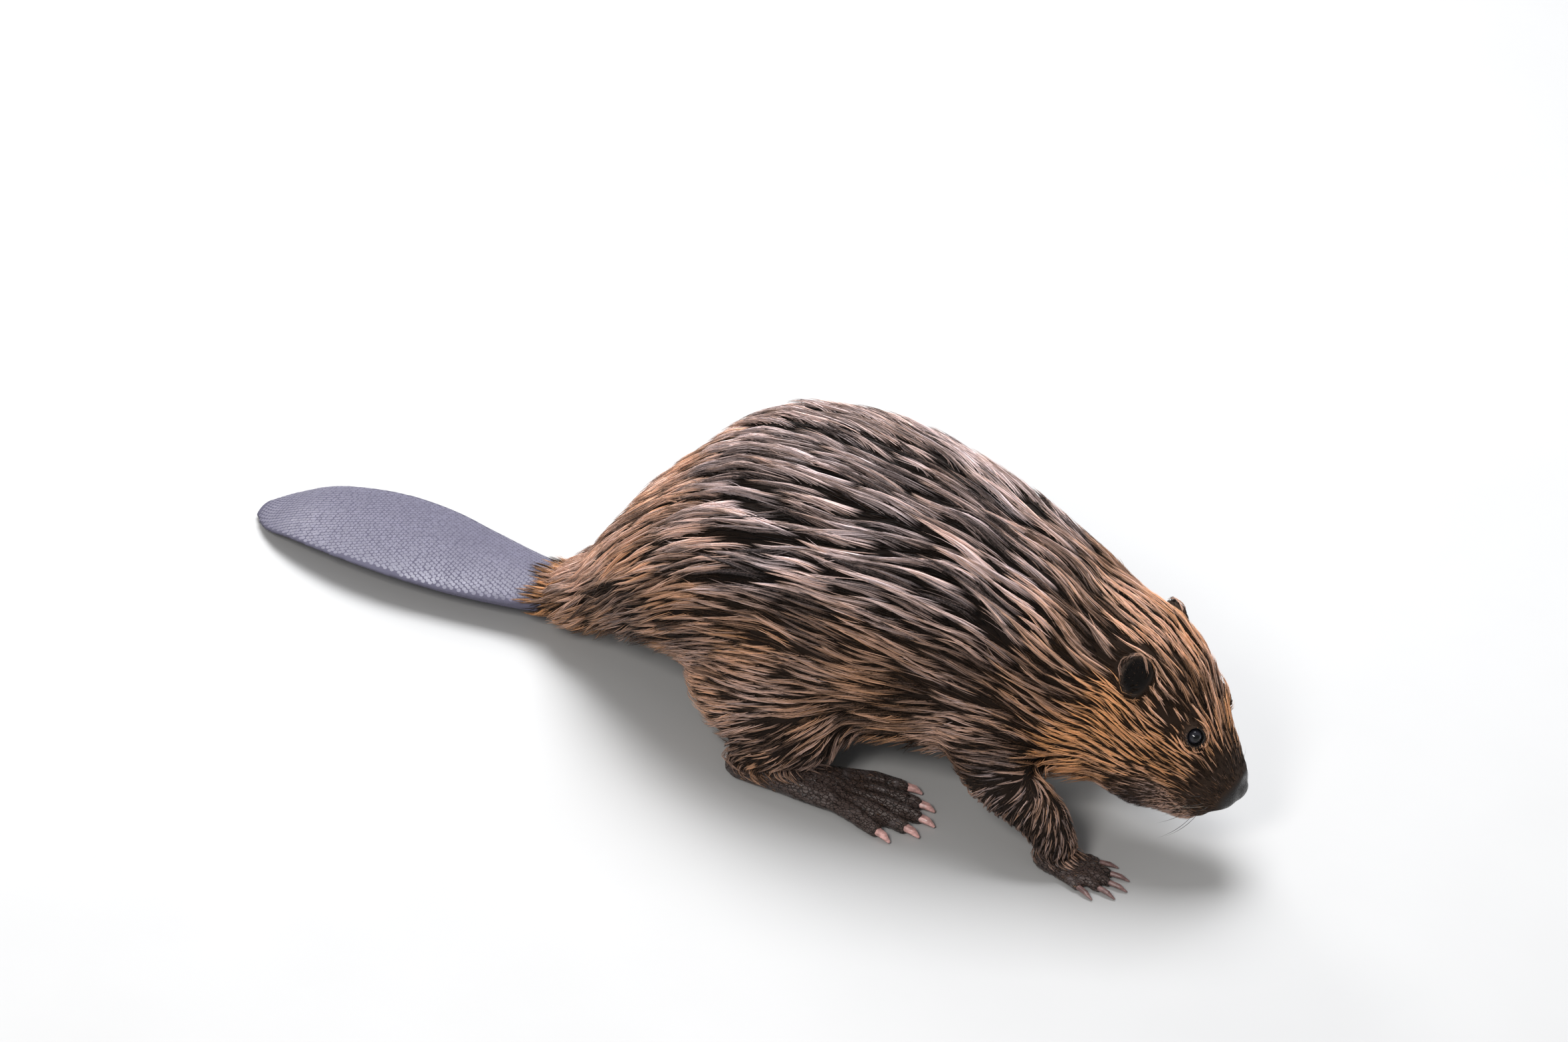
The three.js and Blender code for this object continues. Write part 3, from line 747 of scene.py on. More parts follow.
def skin_mesh(settings):
    """The one skin of the whole animal."""
    bare = [refined(name, pitch=1.2 * MM, steps=10) for name in FOOT_NODES]
    bare += [refined(f"ear_{side}", pitch=0.8 * MM, steps=6, grow=0.5 * MM) for side in SIDES]
    bare += [refined("nose", pitch=1.0 * MM, steps=6, grow=0.3 * MM), paddle_mesh()]
    mesh = remeshed(joined(furred_body(settings), *bare), settings.fine_pitch)
    edges = edges_of(mesh)
    points = relaxed(points_of(mesh), edges, 4)
    near = smooth_step(*NOSE_NEAR, away_from(points, [NOSE]))[:, None]
    points = relaxed(points, edges, 24, 0.6 * near)
    set_points(mesh, points)
    set_points(mesh, points + normals_of(mesh) * near * NOSE_SWELL * MM)
    mesh = sharpened(mesh)
    points, edges, normals = points_of(mesh), edges_of(mesh), normals_of(mesh)
    points = sculpt_eyes(sculpt_ears(sculpt_feet(sculpt_head(points, normals), normals), normals))
    set_points(mesh, relaxed(points, edges, 1, 0.4))
    points = points_of(mesh)
    owners = nearest_flesh(points)
    snout = is_one_of(owners, ["head"]) & (head_places(points)[:, 0] > 0.02)
    thinned = np.where(is_one_of(owners, BARE_NODES) | snout, 0.0, 1.0)
    weights = relaxed(thinned[:, None], edges, 3)[:, 0]
    triangles = sum(max(sides - 2, 0) for sides in face_arrays(mesh)[1].tolist())
    ratio = min(1.0, settings.faces / triangles)
    return after(
        mesh, "DECIMATE", weights, ratio=ratio, use_collapse_triangulate=True, vertex_group_factor=1.0
    )


# ---- The lie of the coat -------------------------------------------------------------------------

# Points from which the hair fans out on both sides: how far ahead of the hips, out and up each lies, and
# the distances at which its pull begins to fade and ends.
FANS = {
    "armpit": ((0.232, 0.062, 0.075), 0.09, 0.21),
    "groin": ((0.052, 0.122, 0.105), 0.05, 0.13),
}
FAN_PULL = 2.2
FAN_START = (0.004, 0.02)  # distances from such a point between which its pull begins
FAN_AHEAD = (0.012, -0.014)  # ahead of the first it has no pull, and behind the second all of it
FANNED_ZONES = ("neck", "back", "flank", "upper_arm", "thigh")
EAR_PARTING = 0.55  # how hard an ear turns the hair aside
PARTING_REACH = (0.030, 0.014)  # distances from its middle between which that begins
LIE_FROM = on_head(0.150, 0, -0.018)  # the hair of the head lies away from this point
LIMB_LIES = {  # the way hair lies on the left limbs
    "thigh": (-0.90, 0.05, -0.25),
    "shank": (-0.75, 0.10, -0.60),
    "forearm": (-0.15, 0.0, -1.0),
    "hind_foot": (1.0, 0.0, 0.0),
    "fore_foot": (1.0, 0.0, -0.1),
}


def mirrored(place, side):
    """A place or way of the left side for each of many points; side is 1 for those on the left, -1 right."""
    return np.stack([np.full(len(side), place[0]), side * place[1], np.full(len(side), place[2])], 1)


def lie_directions(points, normals, zones):
    """The way the hair lies at each point, along the skin."""
    from_nose = unit(points - np.array(LIE_FROM))
    slope = np.interp(points[:, 0], (LINE_X[1:] + LINE_X[:-1]) / 2, np.diff(LINE_Z) / np.diff(LINE_X))
    tailward = unit(np.stack([-np.ones(len(points)), np.zeros(len(points)), -slope], 1))
    side = np.where(points[:, 1] > 0, 1.0, -1.0)
    down = np.array([0, 0, -1.0])
    ways = dict.fromkeys(("muzzle", "chin", "lid", "face", "crown"), from_nose)
    ways |= {
        "ear": from_nose + 0.4 * side[:, None] * HEAD_AXES[1],
        "neck": 0.45 * from_nose + 0.75 * tailward,
        "back": tailward + 0.24 * down,
        "flank": tailward + 0.18 * down,
        "belly": tailward + 0.25 * down,
        "rump": tailward + 0.22 * down,
        "tail_root": tailward,
        "upper_arm": tailward + 0.25 * down,
    }
    ways |= {zone: mirrored(way, side) for zone, way in LIMB_LIES.items()}
    total = np.zeros_like(points)
    for zone, way in ways.items():
        total += share_of(zones, zone)[:, None] * way
    total = unit(total)
    fanned = share_of(zones, *FANNED_ZONES)
    for (ahead, out, up), near, far in FANS.values():
        hub = mirrored((HIPS_X + ahead, out, up), side)
        away = np.linalg.norm(points - hub, axis=1)
        share = fanned * smooth_step(far, near, away) * smooth_step(*FAN_START, away)
        share *= smooth_step(*FAN_AHEAD, points[:, 0] - hub[:, 0])
        total = unit(total + FAN_PULL * share[:, None] * unit(points - hub))
    flow = total
    for ear in EARS.values():
        offset = points - np.array(ear)
        apart = offset - (offset * flow).sum(1, keepdims=True) * flow
        near = smooth_step(*PARTING_REACH, np.linalg.norm(offset, axis=1))
        total = total + EAR_PARTING * unit(apart) * near[:, None]
    return total - (total * normals).sum(1, keepdims=True) * normals


EAR_FREE = 0.35  # no hair grows where the skin belongs to an ear by more than this
EYE_FREE = 0.0086  # nor nearer than this to the middle of an eye


class Hide:
    """The finished skin with what the coat needs to know at each of its faces."""

    def __init__(self, mesh):
        points, edges = points_of(mesh), edges_of(mesh)
        normals = unit(relaxed(normals_of(mesh), edges, 3))
        zones = relaxed(zone_weights(points, normals, nearest_flesh(points)), edges, 4)
        zones /= np.maximum(zones.sum(1, keepdims=True), 1e-6)
        lie = relaxed(lie_directions(points, normals, zones), edges, 12)
        lie -= (lie * normals).sum(1, keepdims=True) * normals
        self.points = points
        self.normals = normals
        self.zones = zones
        self.faces = face_arrays(mesh)[0].reshape(-1, 3)
        self.tree = BVHTree.FromPolygons(points.tolist(), self.faces.tolist())
        self.face_normal = unit(normals[self.faces].mean(1))
        self.face_lie = unit(lie[self.faces].mean(1))
        self.face_zones = zones[self.faces].mean(1)
        self.face_values = self.face_zones @ ZONE_TABLE
        self.face_middle = points[self.faces].mean(1)
        near = away_from(self.face_middle, EYES.values())
        self.face_free = (share_of(self.face_zones, "ear") < EAR_FREE) & (near > EYE_FREE)
        first, second, third = points[self.faces].transpose(1, 0, 2)
        self.face_area = np.linalg.norm(np.cross(second - first, third - first), axis=1) / 2

    def nearest(self, places):
        """The nearest points of the skin, and the faces they lie on."""
        found = [self.tree.find_nearest(place) for place in places.tolist()]
        return np.array([hit[0] for hit in found]), np.array([hit[2] for hit in found])


# Locks start in bands across the lie: the width of a band at some distances from the nose.
BAND_REACH = np.array([0.0, 0.12, 0.20, 0.30, 1.0])
BAND_WIDTH = np.array([0.020, 0.027, 0.036, 0.047, 0.047])
BAND_EDGE = 0.45  # share of a band in which locks stand close
BAND_CROWD = 1.5  # how densely they stand there
BETWEEN = (0.60, 0.25)  # how densely they stand between, on the head and behind it
BETWEEN_REACH = (0.13, 0.24)  # distances from the nose at which the head ends and the body starts


def band_share(points):
    """How far through its band of the coat each point lies, from 0 to 1."""
    reach = np.linspace(0, 1, 400)
    turns = np.concatenate([[0], np.cumsum(np.diff(reach) / np.interp(reach[1:], BAND_REACH, BAND_WIDTH))])
    shift = 0.9 * wave(points, 0.16, 41) + 0.25 * wave(points, 0.04, 42)
    return (np.interp(away_from(points, [NOSE]), reach, turns) + shift) % 1


LOCK_BESIDE, LOCK_AHEAD = 1.45, 0.42  # room of a lock: beside it in half-widths, along it in lengths
SEED_TRIES = 4  # places drawn for each lock that is wanted
SEED_ROOM = 0.80  # how far apart the kept places are, against a lock's room
BY_LID = 0.2  # close round an eye no lock starts where the skin belongs to the lid by more than this
BY_EAR = 0.06  # before an ear none starts where the skin belongs to the ear by more than this
BEHIND_EAR = 0.004  # and how far behind the middle of the ear that still holds


def lock_seeds(hide, rows, cover, draw, banded):
    """Where locks of hair stand: drawn by how densely they stand there, then thinned to rows."""
    beside, ahead = LOCK_BESIDE * value(rows, "half"), LOCK_AHEAD * value(rows, "length")
    wanted = hide.face_area * value(rows, "cover") / (beside * ahead) * cover
    wanted[value(rows, "strands") < 2] = 0
    wanted[~hide.face_free & (share_of(hide.face_zones, "lid") > BY_LID)] = 0
    by_ear = hide.face_free & (share_of(hide.face_zones, "ear") > BY_EAR)
    for ear in EARS.values():
        before = ((hide.face_middle - np.array(ear)) * hide.face_lie).sum(1) < BEHIND_EAR
        wanted[by_ear & before] = 0
    if banded:
        between = np.interp(away_from(hide.face_middle, [NOSE]), BETWEEN_REACH, BETWEEN)
        wanted *= np.where(band_share(hide.face_middle) < BAND_EDGE, BAND_CROWD, between)
    count = draw.poisson(wanted * SEED_TRIES)
    face = np.repeat(np.arange(len(count)), count)
    draw.shuffle(face)
    a, b = draw.random((2, len(face), 1))
    flip = (a + b) > 1
    a, b = np.where(flip, 1 - a, a), np.where(flip, 1 - b, b)
    corner = hide.points[hide.faces[face]]
    place = corner[:, 0] + a * (corner[:, 1] - corner[:, 0]) + b * (corner[:, 2] - corner[:, 0])
    room = SEED_ROOM / np.sqrt(np.maximum(value(rows, "cover")[face], 0.2) * cover)
    beside, ahead, lie = beside[face] * room, ahead[face] * room, hide.face_lie[face]
    tree = kdtree.KDTree(len(place))
    for index, spot in enumerate(place.tolist()):
        tree.insert(spot, index)
    tree.balance()
    free = np.ones(len(place), bool)
    kept = []
    for index, spot in enumerate(place.tolist()):
        if not free[index]:
            continue
        kept.append(index)
        others = np.array([other for _, other, _ in tree.find_range(spot, ahead[index])])
        offset = place[others] - place[index]
        run = offset @ lie[index]
        apart = (offset**2).sum(1) - run**2
        free[others[(run / ahead[index]) ** 2 + apart / beside[index] ** 2 < 1]] = False
    return place[kept], face[kept]


GUIDE_STEPS = 10
STIFFNESS = 1.2  # how slowly a guide turns out of its way


def sway(points):
    """How the lie wanders over the body, from about -1 to 1."""
    return 0.10 * wave(points, 0.21, 11) + 0.40 * wave(points, 0.075, 12) + 0.42 * wave(points, 0.030, 13)


def lock_guides(hide, place, face, length, turn):
    """The middle lines of locks that march over the skin along the lie: their points, their sideways
    directions, and the share of each before it meets an ear or an eye that it has to leave free."""
    spots, across = [], []
    started_free = hide.face_free[face]
    steps = np.full(len(place), float(GUIDE_STEPS))
    for step in range(GUIDE_STEPS + 1):
        normal, lie = hide.face_normal[face], hide.face_lie[face]
        angle = np.radians(turn + sway(place) * value(hide.face_values[face], "sway"))[:, None]
        way = unit(lie * np.cos(angle) + np.cross(normal, lie) * np.sin(angle))
        if step:
            way = unit(way + STIFFNESS * last)
            way = unit(way - (way * normal).sum(1, keepdims=True) * normal)
        spots.append(place)
        across.append(unit(np.cross(normal, way)))
        met = started_free & ~hide.face_free[face]
        steps[met] = np.minimum(steps[met], step - 0.5)
        last = way
        place, face = hide.nearest(place + way * (length / GUIDE_STEPS)[:, None])
    return np.stack(spots, 1), np.stack(across, 1), steps / GUIDE_STEPS


def along_guides(lines, which, shares):
    """Points of the guides at shares of their length; shares has one row for each strand."""
    steps = np.clip(shares, 0, 1) * GUIDE_STEPS
    start = np.minimum(steps.astype(int), GUIDE_STEPS - 1)
    t = (steps - start)[..., None]
    rows = which[:, None]
    return lines[rows, start] * (1 - t) + lines[rows, start + 1] * t


PATCH = 0.003  # size of one strand's patch on the unwrap
UNWRAP_EDGE = 0.005
HEAD_MIDDLE = 0.035  # how far the middle of the head lies beneath the line from ears to nose
TAPER = ((0, 0.25, 0.6, 1), (0.75, 1, 0.85, 0.0))  # width of a strand at shares of its length
STRAND_HIGH = 0.9  # height of a strand, against its half-width


def strand_mesh(name, path, normal, width, details, patch):
    """Tapered three-sided strands joined in one mesh. path has a row of points for each strand, tip last;
    details are four numbers for each of those points, and patch is each root's place on the unwrap."""
    count, length = path.shape[:2]
    rings = length - 1
    tangent = unit(np.gradient(path, axis=1))
    side = unit(np.cross(tangent, normal))
    above = unit(np.cross(side, tangent))
    taper = np.interp(np.linspace(0, 1, length)[:rings], *TAPER)
    half = (width[:, None] * taper)[..., None] / 2
    middle = path[:, :rings]
    left = middle - side[:, :rings] * half
    right = middle + side[:, :rings] * half
    top = middle + above[:, :rings] * half * STRAND_HIGH
    body = np.stack([left, right, top], 2).reshape(count, rings * 3, 3)
    points = np.concatenate([body, path[:, -1:]], 1)
    corners, spots, sizes = [2, 1, 0], [(0, 0), (1, 0), (0.5, 0.3)], [3]
    for ring in range(rings - 1):
        low, high = ring / rings, (ring + 1) / rings
        for k in range(3):
            a, b = ring * 3 + k, ring * 3 + (k + 1) % 3
            corners += [a, b, b + 3, a + 3]
            spots += [(k / 3, low), ((k + 1) / 3, low), ((k + 1) / 3, high), (k / 3, high)]
            sizes.append(4)
    tip, low = rings * 3, (rings - 1) / rings
    for k in range(3):
        corners += [tip - 3 + k, tip - 3 + (k + 1) % 3, tip]
        spots += [(k / 3, low), ((k + 1) / 3, low), ((k + 0.5) / 3, 1)]
        sizes.append(3)
    corners = np.array(corners) + np.arange(count)[:, None] * (tip + 1)
    mesh = mesh_from(name, points.reshape(-1, 3), corners.ravel(), np.tile(sizes, count))
    add_shades(mesh, "hair", np.concatenate([np.repeat(details[:, :rings], 3, axis=1), details[:, -1:]], 1))
    add_unwrap(mesh, patch[:, None] + np.array(spots) * PATCH)
    return mesh


def joined_strands(name, meshes):
    """One mesh of several sets of strands, with their shades and their patches."""
    whole = joined(*meshes)
    whole.name = name
    shades = [read(mesh.attributes["hair"].data, "color", width=4) for mesh in meshes]
    add_shades(whole, "hair", np.concatenate(shades))
    spots = [read(mesh.uv_layers["OFBake"].data, "uv", width=2) for mesh in meshes]
    add_unwrap(whole, np.concatenate(spots))
    return whole


def unwrapped(points, frame_of):
    """Where roots lie on an unwrap of the skin: along the part, and round it."""
    if frame_of == "head":
        places = head_places(points)
        along, angle = places[:, 0], np.arctan2(places[:, 1], places[:, 2] + HEAD_MIDDLE)
    elif frame_of == "leg":
        offset = points - points.mean(0)
        along, angle = points[:, 2], np.arctan2(offset[:, 1], offset[:, 0])
    else:
        along = points[:, 0]
        angle = np.arctan2(points[:, 1], points[:, 2] - np.interp(points[:, 0], LINE_X, LINE_Z))
    both = np.stack([along, angle], 1)
    low, high = both.min(0), both.max(0)
    return UNWRAP_EDGE + (both - low) / np.maximum(high - low, 1e-6) * (1 - 2 * UNWRAP_EDGE - PATCH)


# ---- Coat ----------------------------------------------------------------------------------------

# Each piece of the coat: its zones, how its roots are unwrapped, the rings of a strand, and whether it
# parts by side.
COAT_PIECES = {
    "head": (("muzzle", "chin", "lid", "face", "crown", "ear"), "head", 4, True),
    "neck": (("neck",), "body", 5, True),
    "back": (("back",), "body", 5, True),
    "flank": (("flank",), "body", 4, True),
    "belly": (("belly",), "body", 4, False),
    "rump": (("rump", "tail_root"), "body", 5, True),
    "thigh": (("thigh",), "body", 4, True),
    "arm": (("upper_arm", "forearm"), "leg", 4, True),
    "feet": (("shank", "hind_foot", "fore_foot"), "leg", 4, True),
}

# The strands of a lock.
ROOTS_SPREAD, TIPS_SPREAD = 0.55, 0.30  # shares of a lock's length over which strands start, and end
SHORTEST = 0.3  # a lock that is stopped before this share of its length is left out
STAND_OUT = 0.06  # share of strands that stand out from their lock
STRAY = 0.15  # share of strands that lie farther aside than the rest
UNDER = 0.12  # share of a lock's strands that lie low and dark beneath it
UNDER_SPREAD = (2.3, 1.6)  # how far aside those lie in half-widths, and the undercoat's
UNDER_HEIGHT = (0.5, 0.30)  # how high those lie, and the undercoat's
GATHERED = 0.08  # how wide the tips of a lock are, against its roots
CURL = 0.10  # how far a strand swings from side to side, in half-widths of its lock
COMB = 0.30  # how far the roots of a lock lie to its lower side
ROOT_SINK = 0.9 * MM  # how far roots lie within the skin
CROWN_FALL, CROWN_LEAST = 0.32, 0.5  # how much lower a lock is at its sides, and what stays at least
RISE_AT_ROOT, RISE_ALONG = 0.60, 0.20  # shares of the height that come close to the root, and evenly
FLOOR_CLEAR = 1.0 * MM  # no hair comes nearer to the floor
# Sag of the tips by zone, in mm.
HANG = {
    "belly": 7, "flank": 2.5, "thigh": 5, "upper_arm": 4, "neck": 3, "face": 4, "chin": 2, "rump": 2,
}

# Light and dark of the locks: 0 is the darkest and 1 the lightest.
TONE = 0.65
BRIGHTER = {
    "muzzle": -0.25, "face": 0.33, "crown": 0.34, "neck": -0.07, "back": -0.04, "rump": 0.26,
    "thigh": 0.32, "upper_arm": 0.04, "forearm": 0.02,
}
# painted shade: locks round each ear are darkened
PAINTED_SHADE_BY_EAR = 0.08
SHORTER_BY_EYE = 0.35
BESIDE_REACH = (0.024, 0.012)  # distances from eye and ear between which those two grow
SIDE_SHADE, SIDE_START, SIDE_END = 0.42, 0.50, 0.7  # painted shade: how a lock darkens towards its sides
# Low strands are darkened: partly the undercoat's own darker hair, partly painted shade in the gaps between
# locks.
UNDER_SHARES = (0.12, 0.4, 0.04)  # what low strands keep of a lock's tone, warmth and paleness
SOFT_ZONES = ("flank", "thigh", "belly", "shank", "upper_arm", "forearm")
SOFT = 0.22  # how much lighter the undercoat is in those zones

# The undercoat: sizes of its locks against those above them, and its strands and their rings.
UNDERCOAT = {"length": 0.55, "half": 1.6, "thick": 1.25, "strands": 4, "rings": 3}
UNDERCOAT_FROM = 5  # it grows only beneath locks that have more strands than this


class Locks:
    """Locks of hair: where each lies, how far it reaches, its shade and the numbers of its zone."""

    def __init__(self, hide, settings, draw, under=False):
        rows = hide.face_values
        if under:
            rows = rows.copy()
            for name in ("length", "half", "thick"):
                rows[:, ZONE_FIELDS.index(name)] *= UNDERCOAT[name]
            hairy = value(rows, "strands") > UNDERCOAT_FROM
            rows[:, ZONE_FIELDS.index("strands")] = np.where(hairy, UNDERCOAT["strands"], 0)
        place, face = lock_seeds(hide, rows, settings.cover, draw, banded=not under)
        count = len(place)
        self.under = under
        self.rows = rows[face]
        self.zones = hide.face_zones[face]
        self.place = place
        self.free = hide.face_free[face]
        by_eye = smooth_step(*BESIDE_REACH, away_from(place, EYES.values()))
        by_ear = smooth_step(*BESIDE_REACH, away_from(place, EARS.values()))
        length = value(self.rows, "length") * draw.uniform(0.75, 1.2, count) * (1 - SHORTER_BY_EYE * by_eye)
        turn = draw.normal(0, 4, count)
        self.guides, self.across, self.reach = lock_guides(hide, place, face, length, turn)
        tones = TONE + sum(share_of(self.zones, zone) * more for zone, more in BRIGHTER.items())
        tones = tones - PAINTED_SHADE_BY_EAR * by_ear + 0.22 * wave(place, 0.06, 31)
        self.tones = np.clip(tones + draw.normal(0, 0.22, count), 0, 1)

    def strands(self, hide, picked, rings, draw, lift):
        """Every strand of the picked locks: paths, normals, widths, shades and root places."""
        rows, reach, zones = self.rows[picked], self.reach[picked], self.zones[picked]
        amount = np.round(value(rows, "strands") * draw.uniform(0.75, 1.25, len(rows))).astype(int)
        lock = np.repeat(np.arange(len(rows)), np.maximum(amount, 2))
        count = len(lock)
        row, reach, zones = rows[lock], reach[lock], zones[lock]
        half = value(row, "half")[:, None]

        # Where each strand starts and ends along its lock, and whether it lies low or stands out.
        start = draw.random(count) ** 1.4 * ROOTS_SPREAD
        end = 1 - draw.random(count) ** 1.6 * TIPS_SPREAD
        shares = np.linspace(0, 1, rings + 1)
        along = (start[:, None] + (end - start)[:, None] * shares) * reach[:, None]
        under = (draw.random(count) < UNDER) | self.under
        lone = (draw.random(count) < STAND_OUT) & ~under

        # How far aside each lies: locks are gathered towards their tips.
        guides, across = self.guides[picked], self.across[picked]
        lower_side = np.where(guides[lock, 0, 1] > 0, -1.0, 1.0)
        aside = draw.uniform(-1, 1, count)
        aside = aside * np.where(draw.random(count) < STRAY, 1.5, 1.0) + COMB * lower_side
        spread = UNDER_SPREAD[self.under]
        aside = np.where(under, draw.uniform(-spread, spread, count), aside)
        gathered = (1 - shares) ** 1.25 * (1 - GATHERED) + GATHERED
        gathered = np.where(under[:, None], 1.0, gathered)
        curl = CURL * np.sin(shares * draw.uniform(3, 7, (count, 1)) + draw.uniform(0, 6, (count, 1)))
        offset = (aside[:, None] * gathered + curl * shares) * half
        offset += np.where(lone, draw.normal(0, 1.2, count), 0)[:, None] * shares**1.5 * half
        base = along_guides(guides, lock, along) + along_guides(across, lock, along) * offset[..., None]
        foot, face = hide.nearest(base.reshape(-1, 3))
        foot = foot.reshape(count, rings + 1, 3)
        normal = hide.face_normal[face].reshape(count, rings + 1, 3)
        clear = hide.face_free[face].reshape(count, rings + 1).all(1) | ~self.free[picked][lock]

        # How high it stands over the skin, and how far its tip hangs.
        crown = np.maximum(1 - CROWN_FALL * np.abs(aside)[:, None] ** 2, CROWN_LEAST)
        rise = RISE_AT_ROOT * (1 - (1 - shares) ** 1.9) + RISE_ALONG * along
        height = value(row, "depth")[:, None] * lift * rise * crown * draw.uniform(0.76, 1.0, (count, 1))
        lone_height = draw.uniform(0.9, 1.1, count)
        height *= np.where(lone, lone_height, np.where(under, UNDER_HEIGHT[self.under], 1))[:, None]
        height *= np.sqrt(reach)[:, None]
        height[:, 0] = -np.minimum(ROOT_SINK, 0.4 * value(row, "depth"))
        path = foot + normal * height[..., None]
        sag = sum(share_of(zones, zone) * drop for zone, drop in HANG.items()) * MM
        sag = sag * draw.uniform(0.3, 1.0, count) * np.where(under, 0.3, 1)
        path[..., 2] -= (sag[:, None] * shares**2.2) * np.clip(0.75 - normal[..., 2], 0, 1)
        path[..., 2] = np.maximum(path[..., 2], FLOOR_CLEAR)

        # Its width and shades.
        width = value(row, "thick") * draw.uniform(0.75, 1.2, count) * np.where(lone, 0.6, 1)
        # painted shade at the sides of each lock, where the gaps between locks fall dark
        painted_side_shade = SIDE_SHADE * np.clip(np.abs(aside) - SIDE_START, 0, SIDE_END)
        tone = np.clip(self.tones[picked][lock] - painted_side_shade + draw.normal(0, 0.16, count), 0, 1)
        pale = np.clip(value(row, "pale") + draw.normal(0, 0.08, count), 0, 1)
        warm = value(row, "warm") + 0.09 * wave(foot[:, 0], 0.07, 21)
        warm = np.clip(warm + draw.normal(0, 0.10, count), 0, 1)
        soft = SOFT * share_of(zones, *SOFT_ZONES)
        shades = [
            shade * np.where(under, kept + soft, 1) for shade, kept in zip((tone, warm, pale), UNDER_SHARES)
        ]
        details = np.empty((count, rings + 1, 4))
        details[..., 0] = along / reach[:, None]
        details[..., 1:] = np.stack(shades, 1)[:, None]
        return path[clear], normal[clear], width[clear], details[clear], foot[clear, 0]


def coat_meshes(hide, settings):
    """The coat's pieces by name, split by zones and, for most, by side."""
    draw = np.random.default_rng(settings.seed)
    coats = [Locks(hide, settings, draw), Locks(hide, settings, draw, under=True)]
    made = {}
    for piece, (zones, unwrap, rings, parted) in COAT_PIECES.items():
        indices = [ZONE_NAMES.index(zone) for zone in zones]
        for side, sign in SIDES.items() if parted else (("", 0),):
            name = f"coat_{piece}_{side}" if side else f"coat_{piece}"
            sets = []
            for locks in coats:
                mine = np.isin(locks.zones.argmax(1), indices) & (locks.reach > SHORTEST)
                if parted:
                    mine &= (locks.place[:, 1] > 0) == (sign > 0)
                if mine.any():
                    steps = UNDERCOAT["rings"] if locks.under else rings
                    sets.append(locks.strands(hide, mine, steps, draw, settings.lift))
            roots = [one[-1] for one in sets]
            patches = unwrapped(np.concatenate(roots), unwrap)
            patches = np.split(patches, np.cumsum([len(places) for places in roots])[:-1])
            meshes = [strand_mesh(name, *one[:4], patch) for one, patch in zip(sets, patches)]
            made[name] = joined_strands(name, meshes)
    return made


# ---- Bare parts ----------------------------------------------------------------------------------


CORNEA_RISE = 0.05  # against the radius of the eye
CORNEA_EDGE = (0.62, 0.30)  # angles from the eye's own Z between which it rises


def eyeball_mesh():
    """An eye with a raised cornea, looking along its own Z."""
    steps, sides = 40, 48
    angle = np.linspace(0.001, math.pi - 0.001, steps)
    cornea = 1 + CORNEA_RISE * smooth_step(*CORNEA_EDGE, angle)
    profile = np.stack([np.sin(angle), np.cos(angle)], 1) * (EYE_RADIUS * cornea)[:, None]
    turn = np.arange(sides) * 2 * math.pi / sides
    out, height = profile[:, :1], np.broadcast_to(profile[:, 1:], (steps, sides))
    return faced(tube_mesh("eyeball", np.stack([out * np.cos(turn), out * np.sin(turn), height], 2)))


SCALE_STEP = 0.80  # from row to row of scales, against their length
SCALE_HALF_LONG, SCALE_HALF_WIDE = 0.53, 0.52  # half-sizes of a scale, against its length
SCALE_CORNERS = 8
SCALE_TILT = 0.03 * MM  # how far a scale's rear edge stands over its middle
SCALE_GROOVE = 0.12 * MM  # how far its rim lies under its top
SCALE_TOP = 0.84  # size of its top, against its rim
SCALE_DOME = 0.03 * MM  # how far the middle of its top is raised
SCALE_SINK = 0.9 * MM  # how far its foot lies within the tail
SCALE_START, SCALE_END = 0.05, 0.985  # shares of the paddle's length that scales cover
SCALE_EDGE = 0.93  # and the share of its half-width


